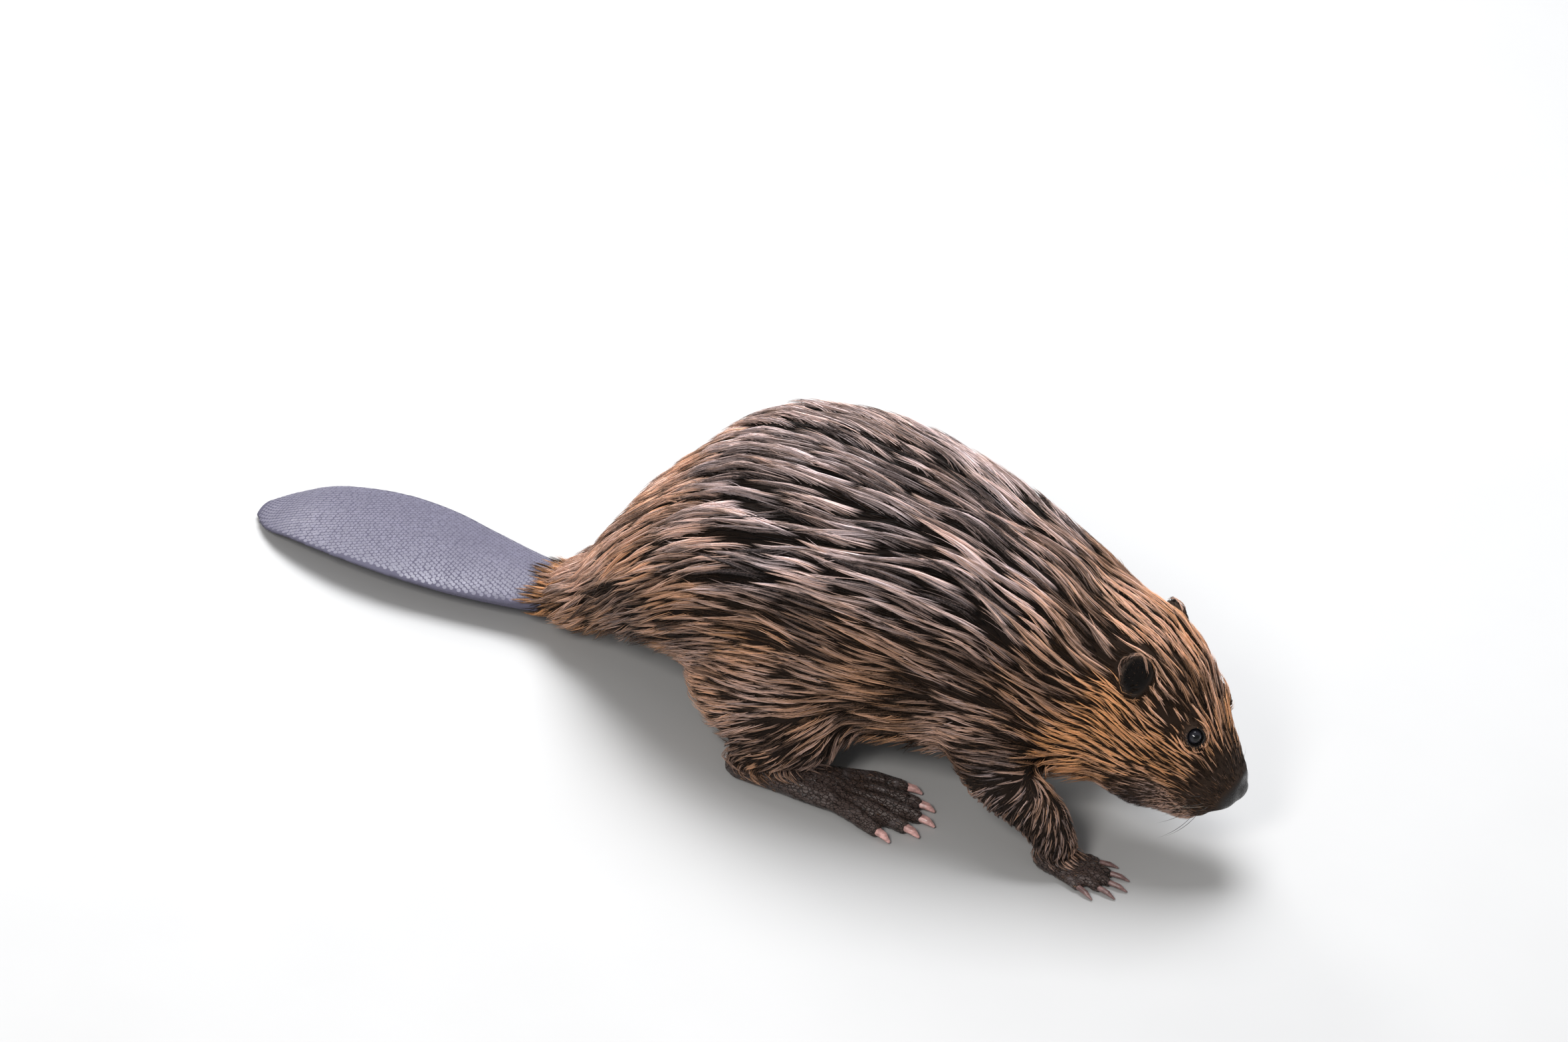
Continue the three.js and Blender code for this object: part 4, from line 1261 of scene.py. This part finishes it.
def scale_mesh(length):
    """All of the tail's scales, on both faces of the paddle, as one mesh of overlapping solid plates."""
    shares = np.linspace(0, 1, 400)
    rows = on_curve(TAIL_SECTIONS, shares)
    run = np.concatenate([[0], np.cumsum(np.linalg.norm(np.diff(rows[:, :2], axis=0), axis=1))])
    spots = []
    reaches = np.arange(run[-1] * SCALE_START, run[-1] * SCALE_END, length * SCALE_STEP)
    for index, reach in enumerate(reaches):
        share = np.interp(reach, run, shares)
        half = np.interp(share, shares, rows[:, 2])
        columns = np.arange(-half / length, half / length) + (0.5 if index % 2 else 0)
        spots += [(share, column * length / half) for column in columns]
    spots = np.array([(share, across) for share, across in spots if abs(across) < SCALE_EDGE])
    draw = np.random.default_rng(3)
    outline = np.arange(SCALE_CORNERS) * 2 * math.pi / SCALE_CORNERS + math.pi / SCALE_CORNERS
    u, v = np.cos(outline) * SCALE_HALF_LONG * length, np.sin(outline) * SCALE_HALF_WIDE * length
    tilt = np.interp(u, [-length / 2, length / 2], [SCALE_TILT, -SCALE_TILT])[:, None]
    parts = []
    for face in (1, -1):
        share = spots[:, 0] + draw.normal(0, 0.0008, len(spots))
        across = spots[:, 1] + draw.normal(0, 0.003, len(spots))
        angle = face * np.arccos(np.sign(across) * np.abs(across) ** (TAIL_SQUARENESS / 2))

        def on_paddle(more_share=0.0, more_angle=0.0):
            return paddle_points(share + more_share, angle + more_angle, PADDLE_INSET)

        at = on_paddle()
        ahead = unit(on_paddle(-0.004) - on_paddle(0.004))
        beside = unit(on_paddle(0, 0.02) - on_paddle(0, -0.02))
        normal = unit(np.cross(ahead, beside))
        normal *= np.where(normal[:, 2:] * face < 0, -1, 1)
        beside = unit(np.cross(normal, ahead))
        size = draw.uniform(0.92, 1.06, (len(spots), 1, 1))
        size = size * np.interp(share, [0, 0.85, 1], [1, 0.95, 0.6])[:, None, None]
        flat = (ahead[:, None] * u[:, None] + beside[:, None] * v[:, None]) * size
        rim = at[:, None] + flat + normal[:, None] * (tilt - SCALE_GROOVE)
        inner = at[:, None] + flat * SCALE_TOP + normal[:, None] * tilt
        crown = (at + normal * SCALE_DOME)[:, None]
        foot = (at - normal * SCALE_SINK)[:, None]
        parts.append(np.concatenate([rim, inner, crown, foot], 1))
    points = np.concatenate(parts)
    points[..., 2] = np.maximum(points[..., 2], 0)
    side = np.arange(SCALE_CORNERS)
    on = (side + 1) % SCALE_CORNERS
    inner_side, inner_on = side + SCALE_CORNERS, on + SCALE_CORNERS
    top, bottom = np.full(SCALE_CORNERS, 2 * SCALE_CORNERS), np.full(SCALE_CORNERS, 2 * SCALE_CORNERS + 1)
    faces = np.vstack([
        np.stack([side, on, inner_on], 1),
        np.stack([side, inner_on, inner_side], 1),
        np.stack([inner_side, inner_on, top], 1),
        np.stack([on, side, bottom], 1),
    ])
    count, size = points.shape[:2]
    corners = (faces.ravel() + np.arange(count)[:, None] * size).ravel()
    mesh = mesh_from("tail_scales", points.reshape(-1, 3), corners, np.full(count * len(faces), 3))
    tone = np.repeat(draw.uniform(0, 1, count), size)
    mesh.attributes.new("tone", "FLOAT", "POINT").data.foreach_set("value", tone.astype(np.float32))
    mesh = faced(mesh)
    mesh.polygons.foreach_set("use_smooth", np.zeros(len(mesh.polygons), bool))
    return mesh


WHISKER_ROWS = 4
WHISKERS_IN_ROW = 3
WHISKER_START = (128, 30, -26)  # the first one's root: along the head, out and up, in mm
WHISKER_GAPS = (5.0, 4.6)  # from whisker to whisker and from row to row, in mm
WHISKER_POINTS = 8
WHISKER_LENGTHS = (26, 44)  # in mm
WHISKER_WIDTH = 0.40 * MM
WHISKER_SINK = 0.8  # how far a root lies within the skin, in mm
WHISKER_DROOP = 0.35
WHISKER_CLEAR = 2 * MM  # no whisker comes nearer to the floor
PALE_WHISKERS = 0.12  # share of whiskers that are pale


def whisker_mesh(hide):
    """Stiff whiskers in rows on the pads of the upper lip."""
    draw = np.random.default_rng(5)
    paths, normals = [], []
    shares = np.linspace(0, 1, WHISKER_POINTS)
    t = shares[:, None]
    droop = unit(-HEAD_AXES[0] * 0.9 - HEAD_AXES[2] * 0.5)
    for sign in SIDES.values():
        for row in range(WHISKER_ROWS):
            for place in range(WHISKERS_IN_ROW):
                s = WHISKER_START[0] - WHISKER_GAPS[0] * place + draw.uniform(-1, 1)
                n = WHISKER_START[2] - WHISKER_GAPS[1] * row + draw.uniform(-1, 1)
                spot = np.array(on_head(s * MM, sign * WHISKER_START[1] * MM, n * MM))
                root, face = hide.nearest(spot[None])
                out = hide.face_normal[face[0]]
                back, down = draw.uniform(0.1, 0.9), 0.05 + 0.16 * row
                way = unit(out - HEAD_AXES[0] * back - HEAD_AXES[2] * down)
                length = draw.uniform(*WHISKER_LENGTHS) * MM
                start = root[0] - out * WHISKER_SINK * MM
                path = start + (way * t + droop * WHISKER_DROOP * t**2) * length
                path[:, 2] = np.maximum(path[:, 2], WHISKER_CLEAR)
                paths.append(path)
                normals.append(np.broadcast_to(np.cross(way, HEAD_AXES[0]), path.shape))
    path, normal = np.array(paths), np.array(normals)
    count = len(path)
    details = np.zeros((count, WHISKER_POINTS, 4))
    details[..., 0] = shares
    details[..., 1] = 0.5
    details[..., 3] = np.where(draw.random(count) < PALE_WHISKERS, 0.7, 0.0)[:, None]
    width = np.full(count, WHISKER_WIDTH)
    return strand_mesh("whiskers", path, normal, width, details, unwrapped(path[:, 0], "head"))


def claws_mesh(nodes):
    """The claws of one foot, their facets smoothed away."""
    return joined(*[refined(name, pitch=0.45 * MM, steps=8, grow=0.1 * MM) for name in nodes])


# ---- Materials -----------------------------------------------------------------------------------


def times(colour, factor):
    return tuple(channel * factor for channel in colour)


class Recipe:
    """A material and the nodes that feed its shader."""

    def __init__(self, name, **sockets):
        self.material = bpy.data.materials.new(name)
        self.material.use_nodes = True
        self.tree = self.material.node_tree
        self.shader = self.tree.nodes["Principled BSDF"]
        for key, setting in sockets.items():
            self.shader.inputs[key.replace("_", " ")].default_value = setting

    def node(self, kind, inputs=None, **settings):
        made = self.tree.nodes.new("ShaderNode" + kind)
        for key, setting in settings.items():
            setattr(made, key, setting)
        for key, source in (inputs or {}).items():
            if isinstance(source, bpy.types.NodeSocket):
                self.tree.links.new(source, made.inputs[key])
            else:
                made.inputs[key].default_value = source
        return made

    def feed(self, socket, source):
        self.tree.links.new(source, self.shader.inputs[socket])

    def mix(self, factor, first, second):
        """first where the factor is 0 and second where it is 1; each is a socket or a colour."""
        ends = [(*end, 1.0) if isinstance(end, tuple) else end for end in (first, second)]
        return self.node("Mix", {0: factor, 6: ends[0], 7: ends[1]}, data_type="RGBA").outputs[2]

    def math(self, kind, first, second):
        return self.node("Math", {0: first, 1: second}, operation=kind).outputs[0]

    def ramp(self, source, low, high, out_low=0.0, out_high=1.0, smooth=True):
        ends = {"From Min": low, "From Max": high, "To Min": out_low, "To Max": out_high}
        kind = "SMOOTHSTEP" if smooth else "LINEAR"
        return self.node("MapRange", {"Value": source, **ends}, interpolation_type=kind).outputs["Result"]

    def marks(self, name):
        """The four numbers that the mesh carries at each point under a name."""
        stored = self.node("Attribute", attribute_name=name)
        parts = self.node("SeparateColor", {"Color": stored.outputs["Color"]})
        return *parts.outputs, stored.outputs["Alpha"]

    def place(self, stretch=None):
        spot = self.node("TexCoord").outputs["Object"]
        if stretch is None:
            return spot
        return self.node("Mapping", {"Vector": spot, "Scale": stretch}).outputs["Vector"]

    def noise(self, scale, detail=3.0, stretch=None):
        settings = {"Vector": self.place(stretch), "Scale": scale, "Detail": detail}
        return self.node("TexNoise", settings).outputs["Fac"]

    def cells(self, scale, feature="F1", stretch=None):
        settings = {"Vector": self.place(stretch), "Scale": scale}
        return self.node("TexVoronoi", settings, feature=feature).outputs["Distance"]

    def bumped(self, height, distance, strength):
        made = self.node("Bump", {"Height": height, "Distance": distance, "Strength": strength})
        self.feed("Normal", made.outputs["Normal"])


def coat_material(settings):
    """Wet hair: near black root as painted shade, then dark, pale with painted sheen or chestnut; lighter
    tips.
    """
    recipe = Recipe("wet_hair", Roughness=0.42, Specular_IOR_Level=0.14)
    along, tone, warm, pale = recipe.marks("hair")
    # the pale colour is partly the hair's own and partly a painted sheen of the sky on wet hair
    body = recipe.mix(pale, tuple(settings.dark), tuple(settings.pale))
    body = recipe.mix(recipe.math("MULTIPLY", warm, 0.92), body, tuple(settings.warm))
    # tone scales the colour: random light and dark, and painted shade of lock sides, low strands and ears
    shade = recipe.ramp(recipe.math("POWER", tone, 1.5), 0, 1, 0.10, 1.45, False)
    shade = recipe.math("ADD", shade, recipe.ramp(recipe.noise(700), 0.3, 0.7, -0.08, 0.08))
    grey = recipe.node("CombineXYZ", {0: shade, 1: shade, 2: shade}).outputs[0]
    lit = recipe.node("VectorMath", {0: body, 1: grey}, operation="MULTIPLY").outputs[0]
    # painted shade: each strand fades up from the near black root colour over the first third of its lock
    grown = recipe.mix(recipe.ramp(along, 0.04, 0.34), tuple(settings.root), lit)
    at_tip = recipe.math("MULTIPLY", recipe.ramp(along, 0.72, 1.0, 0, 0.5), recipe.ramp(tone, 0.2, 0.7))
    bleached = (0.50, 0.31, 0.19)
    recipe.feed("Base Color", recipe.mix(at_tip, grown, bleached))
    recipe.feed("Roughness", recipe.ramp(tone, 0, 1, 0.50, 0.36, False))
    return recipe.material


def whisker_material():
    """Dark or pale horn-like hair; the fourth mark of the hair tells how pale."""
    recipe = Recipe("whisker", Roughness=0.35)
    dark = recipe.mix(recipe.noise(300), (0.010, 0.008, 0.007), (0.035, 0.026, 0.020))
    recipe.feed("Base Color", recipe.mix(recipe.marks("hair")[3], dark, (0.42, 0.36, 0.30)))
    return recipe.material


def skin_material(coat, bare):
    """Skin under the coat, and the bare skin of nose, ears, feet and tail, blended where they meet."""
    recipe = Recipe("skin", Roughness=0.5, Specular_IOR_Level=0.26)
    warm, short, hollow = recipe.marks("marks")[:3]
    nose, ear, foot, tail = recipe.marks("bare")
    # skin under the coat: near black from the root colour, its own dark and painted shade under the hair
    down = recipe.mix(recipe.noise(260, 5), times(coat.root, 0.7), times(coat.dark, 0.30))
    down = recipe.mix(recipe.math("MULTIPLY", warm, 0.12), down, times(coat.warm, 0.25))
    muzzle = recipe.mix(recipe.noise(900, 2), (0.015, 0.009, 0.006), (0.060, 0.035, 0.022))
    down = recipe.mix(recipe.math("MULTIPLY", short, 0.8), down, muzzle)
    black = recipe.mix(recipe.noise(180), (0.006, 0.005, 0.005), (0.022, 0.019, 0.018))
    velvet = recipe.mix(recipe.noise(220), (0.002, 0.0018, 0.0018), (0.008, 0.006, 0.005))
    rim = recipe.mix(recipe.noise(260), (0.014, 0.009, 0.007), (0.060, 0.040, 0.028))
    # painted shade and highlights on the feet: dark creases, lighter ridges between them, and pale grey
    # patches as wet glints
    creases = recipe.ramp(recipe.cells(420, "DISTANCE_TO_EDGE", (0.6, 1.0, 1.0)), 0.0, 0.12)
    foot_skin_and_painted_light = recipe.mix(creases, times(bare.foot, 0.22), times(bare.foot, 1.6))
    foot_skin_and_painted_light = recipe.mix(recipe.ramp(recipe.noise(75), 0.52, 0.74), foot_skin_and_painted_light, (0.105, 0.086, 0.084))
    colour = recipe.mix(ear, down, recipe.mix(hollow, rim, velvet))
    colour = recipe.mix(foot, colour, foot_skin_and_painted_light)
    colour = recipe.mix(nose, colour, black)
    colour = recipe.mix(tail, colour, times(bare.tail, 0.75))
    recipe.feed("Base Color", colour)
    patches = recipe.ramp(recipe.noise(150), 0.25, 0.6, 0.75, 1)
    wet = recipe.math("MULTIPLY", recipe.math("MAXIMUM", nose, foot), patches)
    recipe.feed("Roughness", recipe.ramp(wet, 0.0, 1.0, 1.0, 0.12, False))
    pebbles = recipe.math("MULTIPLY", recipe.ramp(recipe.cells(850), 0.0, 0.7, 1, 0), nose)
    wrinkles = recipe.math("MULTIPLY", creases, foot)
    hairs = recipe.math("MULTIPLY", recipe.noise(1500, 2), 0.8)
    height = recipe.math("ADD", recipe.math("ADD", pebbles, wrinkles), hairs)
    recipe.bumped(height, 0.5 * MM, 0.7)
    return recipe.material


PUPIL = (2.6 * MM, 3.1 * MM)  # distances from the eye's own Z at which the iris begins to show, and is full
IRIS_RIM = (5.8 * MM, 6.6 * MM)


def eye_material():
    """A dark wet eye: black pupil, deep grey iris and a darker rim."""
    recipe = Recipe("eye", Roughness=0.08, Specular_IOR_Level=0.35)
    flat = recipe.node("VectorMath", {0: recipe.place(), 1: (1, 1, 0)}, operation="MULTIPLY").outputs[0]
    reach = recipe.node("VectorMath", {0: flat}, operation="LENGTH").outputs["Value"]
    iris = recipe.mix(recipe.noise(900), (0.009, 0.009, 0.012), (0.022, 0.022, 0.029))
    colour = recipe.mix(recipe.ramp(reach, *PUPIL), (0.002, 0.002, 0.002), iris)
    colour = recipe.mix(recipe.ramp(reach, *IRIS_RIM), colour, (0.006, 0.005, 0.005))
    recipe.feed("Base Color", colour)
    return recipe.material


FORE_CLAWS_DARKER = 0.72


def claw_material(bare, name, darkness):
    """Horn with fine lengthwise lines and darker patches."""
    recipe = Recipe(name, Roughness=0.35)
    lines = recipe.noise(900, 3, (0.15, 1.0, 1.0))
    base = times(bare.claw, 1 - darkness)
    bright = tuple(min(1, channel * 1.45 + 0.03) for channel in base)
    colour = recipe.mix(recipe.ramp(lines, 0.35, 0.7), base, bright)
    colour = recipe.mix(recipe.ramp(recipe.noise(160), 0.4, 0.8), colour, times(base, 0.55))
    recipe.feed("Base Color", colour)
    recipe.feed("Roughness", recipe.ramp(lines, 0.2, 0.8, 0.24, 0.42))
    recipe.bumped(lines, 0.15 * MM, 0.6)
    return recipe.material


def scale_material(bare):
    """Leathery slate scales, each of its own shade, a little worn."""
    recipe = Recipe("tail_scale", Roughness=0.4)
    tone = recipe.node("Attribute", attribute_name="tone").outputs["Fac"]
    colour = recipe.mix(recipe.ramp(tone, 0, 1, 0, 1, False), times(bare.tail, 0.88), times(bare.tail, 1.12))
    colour = recipe.mix(recipe.ramp(recipe.noise(14), 0.35, 0.70, 0, 0.5), colour, times(bare.tail, 0.80))
    colour = recipe.mix(recipe.ramp(recipe.noise(420, 4), 0.5, 0.8, 0, 0.25), colour, times(bare.tail, 1.25))
    recipe.feed("Base Color", colour)
    recipe.feed("Roughness", recipe.ramp(recipe.noise(120), 0.3, 0.7, 0.36, 0.50))
    recipe.bumped(recipe.noise(1300, 3), 0.12 * MM, 0.5)
    return recipe.material


def floor_material():
    """Pale matt floor with faint clouds."""
    recipe = Recipe("pale_floor", Roughness=0.85)
    recipe.feed("Base Color", recipe.mix(recipe.noise(6, 4), (0.46, 0.46, 0.455), (0.49, 0.49, 0.485)))
    return recipe.material


# ---- Operators -----------------------------------------------------------------------------------


def settled(name, mesh, material, replaced=()):
    """A finished piece: one mesh on the animal's body with its material and the nodes it stands for."""
    mesh.name = name
    mesh.materials.clear()
    mesh.materials.append(material)
    made = link(name, mesh)
    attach(made, "root")
    if replaced:
        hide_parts(*replaced)
    return made


_made = {}  # the finished skin, which the coat and the whiskers stand on


def add_marks(mesh, hide):
    """Stores on the skin how warm and short its hair is, where ears are hollow, and where it is bare."""
    rows = hide.zones @ ZONE_TABLE
    hollow = np.zeros(len(rows))
    for side in SIDES:
        _, reach, facing = ear_places(hide.points, hide.normals, side)
        hollow = np.maximum(hollow, facing * smooth_step(0.95, 0.72, reach))
    short = share_of(hide.zones, "muzzle", "chin", "lid")
    add_shades(mesh, "marks", np.stack([value(rows, "warm"), short, hollow, np.ones(len(rows))], 1))
    near_eye = smooth_step(0.0100, EYE_FREE, away_from(hide.points, EYES.values()))
    bare = [
        np.maximum(share_of(hide.zones, "nose"), near_eye),
        share_of(hide.zones, "ear"),
        share_of(hide.zones, "hind_foot", "fore_foot"),
        share_of(hide.zones, "tail"),
    ]
    add_shades(mesh, "bare", np.stack(bare, 1))


class BEAVER_OT_skin(bpy.types.Operator):
    """Make the one skin of the whole animal, inside the solids by the coat's depth"""

    bl_idname = "beaver.skin"
    bl_label = "Skin"

    def execute(self, context):
        settings = context.scene.beaver_skin
        mesh = skin_mesh(settings)
        mesh.polygons.foreach_set("use_smooth", np.ones(len(mesh.polygons), bool))
        _made["hide"] = Hide(mesh)
        add_marks(mesh, _made["hide"])
        material = skin_material(context.scene.beaver_coat, context.scene.beaver_bare)
        settled("skin", mesh, material, ALL_FLESH)
        return {"FINISHED"}


class BEAVER_OT_eyes(bpy.types.Operator):
    """Set both eyes in their sockets"""

    bl_idname = "beaver.eyes"
    bl_label = "Eyes"

    def execute(self, context):
        material = eye_material()
        for side, centre in EYES.items():
            made = settled(f"eyeball_{side}", eyeball_mesh(), material, [f"eye_{side}"])
            turn = Vector(EYE_OUT[side]).to_track_quat("Z", "Y").to_matrix().to_4x4()
            made.matrix_world = Matrix.Translation(centre) @ turn
        return {"FINISHED"}


class BEAVER_OT_claws(bpy.types.Operator):
    """Shape the five claws of each foot"""

    bl_idname = "beaver.claws"
    bl_label = "Claws"

    def execute(self, context):
        bare = context.scene.beaver_bare
        for end, darkness in (("hind", 0.0), ("fore", FORE_CLAWS_DARKER)):
            material = claw_material(bare, f"{end}_claw_horn", darkness)
            for side in SIDES:
                nodes = [f"{end}_claw_{side}_{toe}" for toe in range(1, 6)]
                settled(f"claws_{end}_{side}", claws_mesh(nodes), material, nodes)
        return {"FINISHED"}


class BEAVER_OT_tail_scales(bpy.types.Operator):
    """Lay the scales of the tail"""

    bl_idname = "beaver.tail_scales"
    bl_label = "Tail scales"

    def execute(self, context):
        bare = context.scene.beaver_bare
        settled("tail_scales", scale_mesh(bare.scale), scale_material(bare))
        return {"FINISHED"}


class BEAVER_OT_coat(bpy.types.Operator):
    """Grow the wet coat in locks that follow its lie"""

    bl_idname = "beaver.coat"
    bl_label = "Coat"

    def execute(self, context):
        settings = context.scene.beaver_coat
        material = coat_material(settings)
        for name, mesh in coat_meshes(_made["hide"], settings).items():
            settled(name, mesh, material)
        return {"FINISHED"}


class BEAVER_OT_whiskers(bpy.types.Operator):
    """Set the whiskers in the upper lip"""

    bl_idname = "beaver.whiskers"
    bl_label = "Whiskers"

    def execute(self, context):
        settled("whiskers", whisker_mesh(_made["hide"]), whisker_material())
        return {"FINISHED"}


# Framing: pixels of the middle of the view and of the point beneath the hips, and pixels in a metre.
VIEW_MIDDLE = (1179.5, 784)
HIPS_SEEN_AT = (1257, 1094)
PIXELS_PER_METRE = 1800
HIPS_DROP = 0.005  # the point that is seen there lies a little under the floor

FLOOR_REACH = 14.0
LAMPS_AIM = (0.1, 0, 0.15)
LAMPS = {
    # place, size, watts and colour
    "sky": ((-0.4, 0.9, 3.0), 2.0, 165, (0.96, 0.97, 1.0)),
    "window": ((0.3, -2.8, 2.6), 0.8, 66, (1.0, 0.97, 0.94)),
    "back": ((-2.4, 1.6, 1.8), 1.2, 36, (1.0, 0.98, 0.96)),
}
WORLD_LIGHT = 0.36
WORLD_COLOUR = (0.95, 0.97, 1.0, 1)


def aimed(place, target):
    return (Vector(target) - Vector(place)).to_track_quat("-Z", "Y")


class BEAVER_OT_stage(bpy.types.Operator):
    """Lay the floor and set lamps, sky and camera"""

    bl_idname = "beaver.stage"
    bl_label = "Stage"

    def execute(self, context):
        self.add_floor()
        self.add_lights(context.scene)
        self.add_camera(context.scene, context.scene.beaver_stage)
        return {"FINISHED"}

    def add_floor(self):
        points = np.array([(-1, -1, 0), (1, -1, 0), (1, 1, 0), (-1, 1, 0)]) * FLOOR_REACH
        floor = link("floor", mesh_from("floor", points, np.arange(4), np.array([4])))
        floor.data.materials.append(floor_material())

    def add_lights(self, scene):
        for name, (place, size, watts, colour) in LAMPS.items():
            lamp = bpy.data.lights.new(name, "AREA")
            lamp.size, lamp.energy, lamp.color = size, watts, colour
            made = bpy.data.objects.new(name, lamp)
            made.location = place
            made.rotation_euler = aimed(place, LAMPS_AIM).to_euler()
            scene.collection.objects.link(made)
        world = bpy.data.worlds.new("studio")
        world.use_nodes = True
        sky = world.node_tree.nodes["Background"]
        sky.inputs["Color"].default_value = WORLD_COLOUR
        sky.inputs["Strength"].default_value = WORLD_LIGHT
        scene.world = world
        scene.view_settings.view_transform = "Standard"

    def add_camera(self, scene, stage):
        turn, height = stage.turn, stage.height
        right = Vector((math.cos(turn), math.sin(turn), 0))
        ahead = Vector(
            (-math.sin(turn) * math.cos(height), math.cos(turn) * math.cos(height), -math.sin(height))
        )
        above = right.cross(ahead)
        lean = Matrix.Rotation(stage.slope, 3, "Y").inverted()
        right, ahead, above = lean @ right, lean @ ahead, lean @ above
        data = bpy.data.cameras.new("camera")
        data.lens, data.sensor_width = stage.lens, 36
        data.clip_start, data.clip_end = 0.1, 60
        camera = bpy.data.objects.new("camera", data)
        aside = (VIEW_MIDDLE[0] - HIPS_SEEN_AT[0]) / PIXELS_PER_METRE
        rise = (HIPS_SEEN_AT[1] - VIEW_MIDDLE[1]) / PIXELS_PER_METRE
        hips = Vector((HIPS_X, 0, -HIPS_DROP))
        place = hips + right * aside + above * rise - ahead * stage.distance
        turned = Matrix((right, above, -ahead)).transposed().to_4x4()
        camera.matrix_world = Matrix.Translation(place) @ turned
        scene.collection.objects.link(camera)
        scene.camera = camera


class BEAVER_PT_panel(bpy.types.Panel):
    """The steps that make the beaver, and their settings"""

    bl_idname = "BEAVER_PT_panel"
    bl_label = "Beaver"
    bl_space_type = "VIEW_3D"
    bl_region_type = "UI"
    bl_category = "Beaver"

    def draw(self, context):
        for step in STEPS:
            self.layout.operator(step.bl_idname)
        for key, kind in SETTINGS.items():
            column = self.layout.column(align=True)
            for name in kind.__annotations__:
                column.prop(getattr(context.scene, key), name)


SETTINGS = {
    "beaver_skin": SkinSettings,
    "beaver_coat": CoatSettings,
    "beaver_bare": BareSettings,
    "beaver_stage": StageSettings,
}
STEPS = (
    BEAVER_OT_skin,
    BEAVER_OT_eyes,
    BEAVER_OT_claws,
    BEAVER_OT_tail_scales,
    BEAVER_OT_coat,
    BEAVER_OT_whiskers,
    BEAVER_OT_stage,
)
CLASSES = (*SETTINGS.values(), *STEPS, BEAVER_PT_panel)


def register():
    for kind in CLASSES:
        bpy.utils.register_class(kind)
    for key, kind in SETTINGS.items():
        setattr(bpy.types.Scene, key, PointerProperty(type=kind))


def unregister():
    for key in SETTINGS:
        delattr(bpy.types.Scene, key)
    for kind in reversed(CLASSES):
        bpy.utils.unregister_class(kind)


def main():
    register()
    for step in STEPS:
        group, name = step.bl_idname.split(".")
        getattr(getattr(bpy.ops, group), name)()


if __name__ == "__main__":
    main()
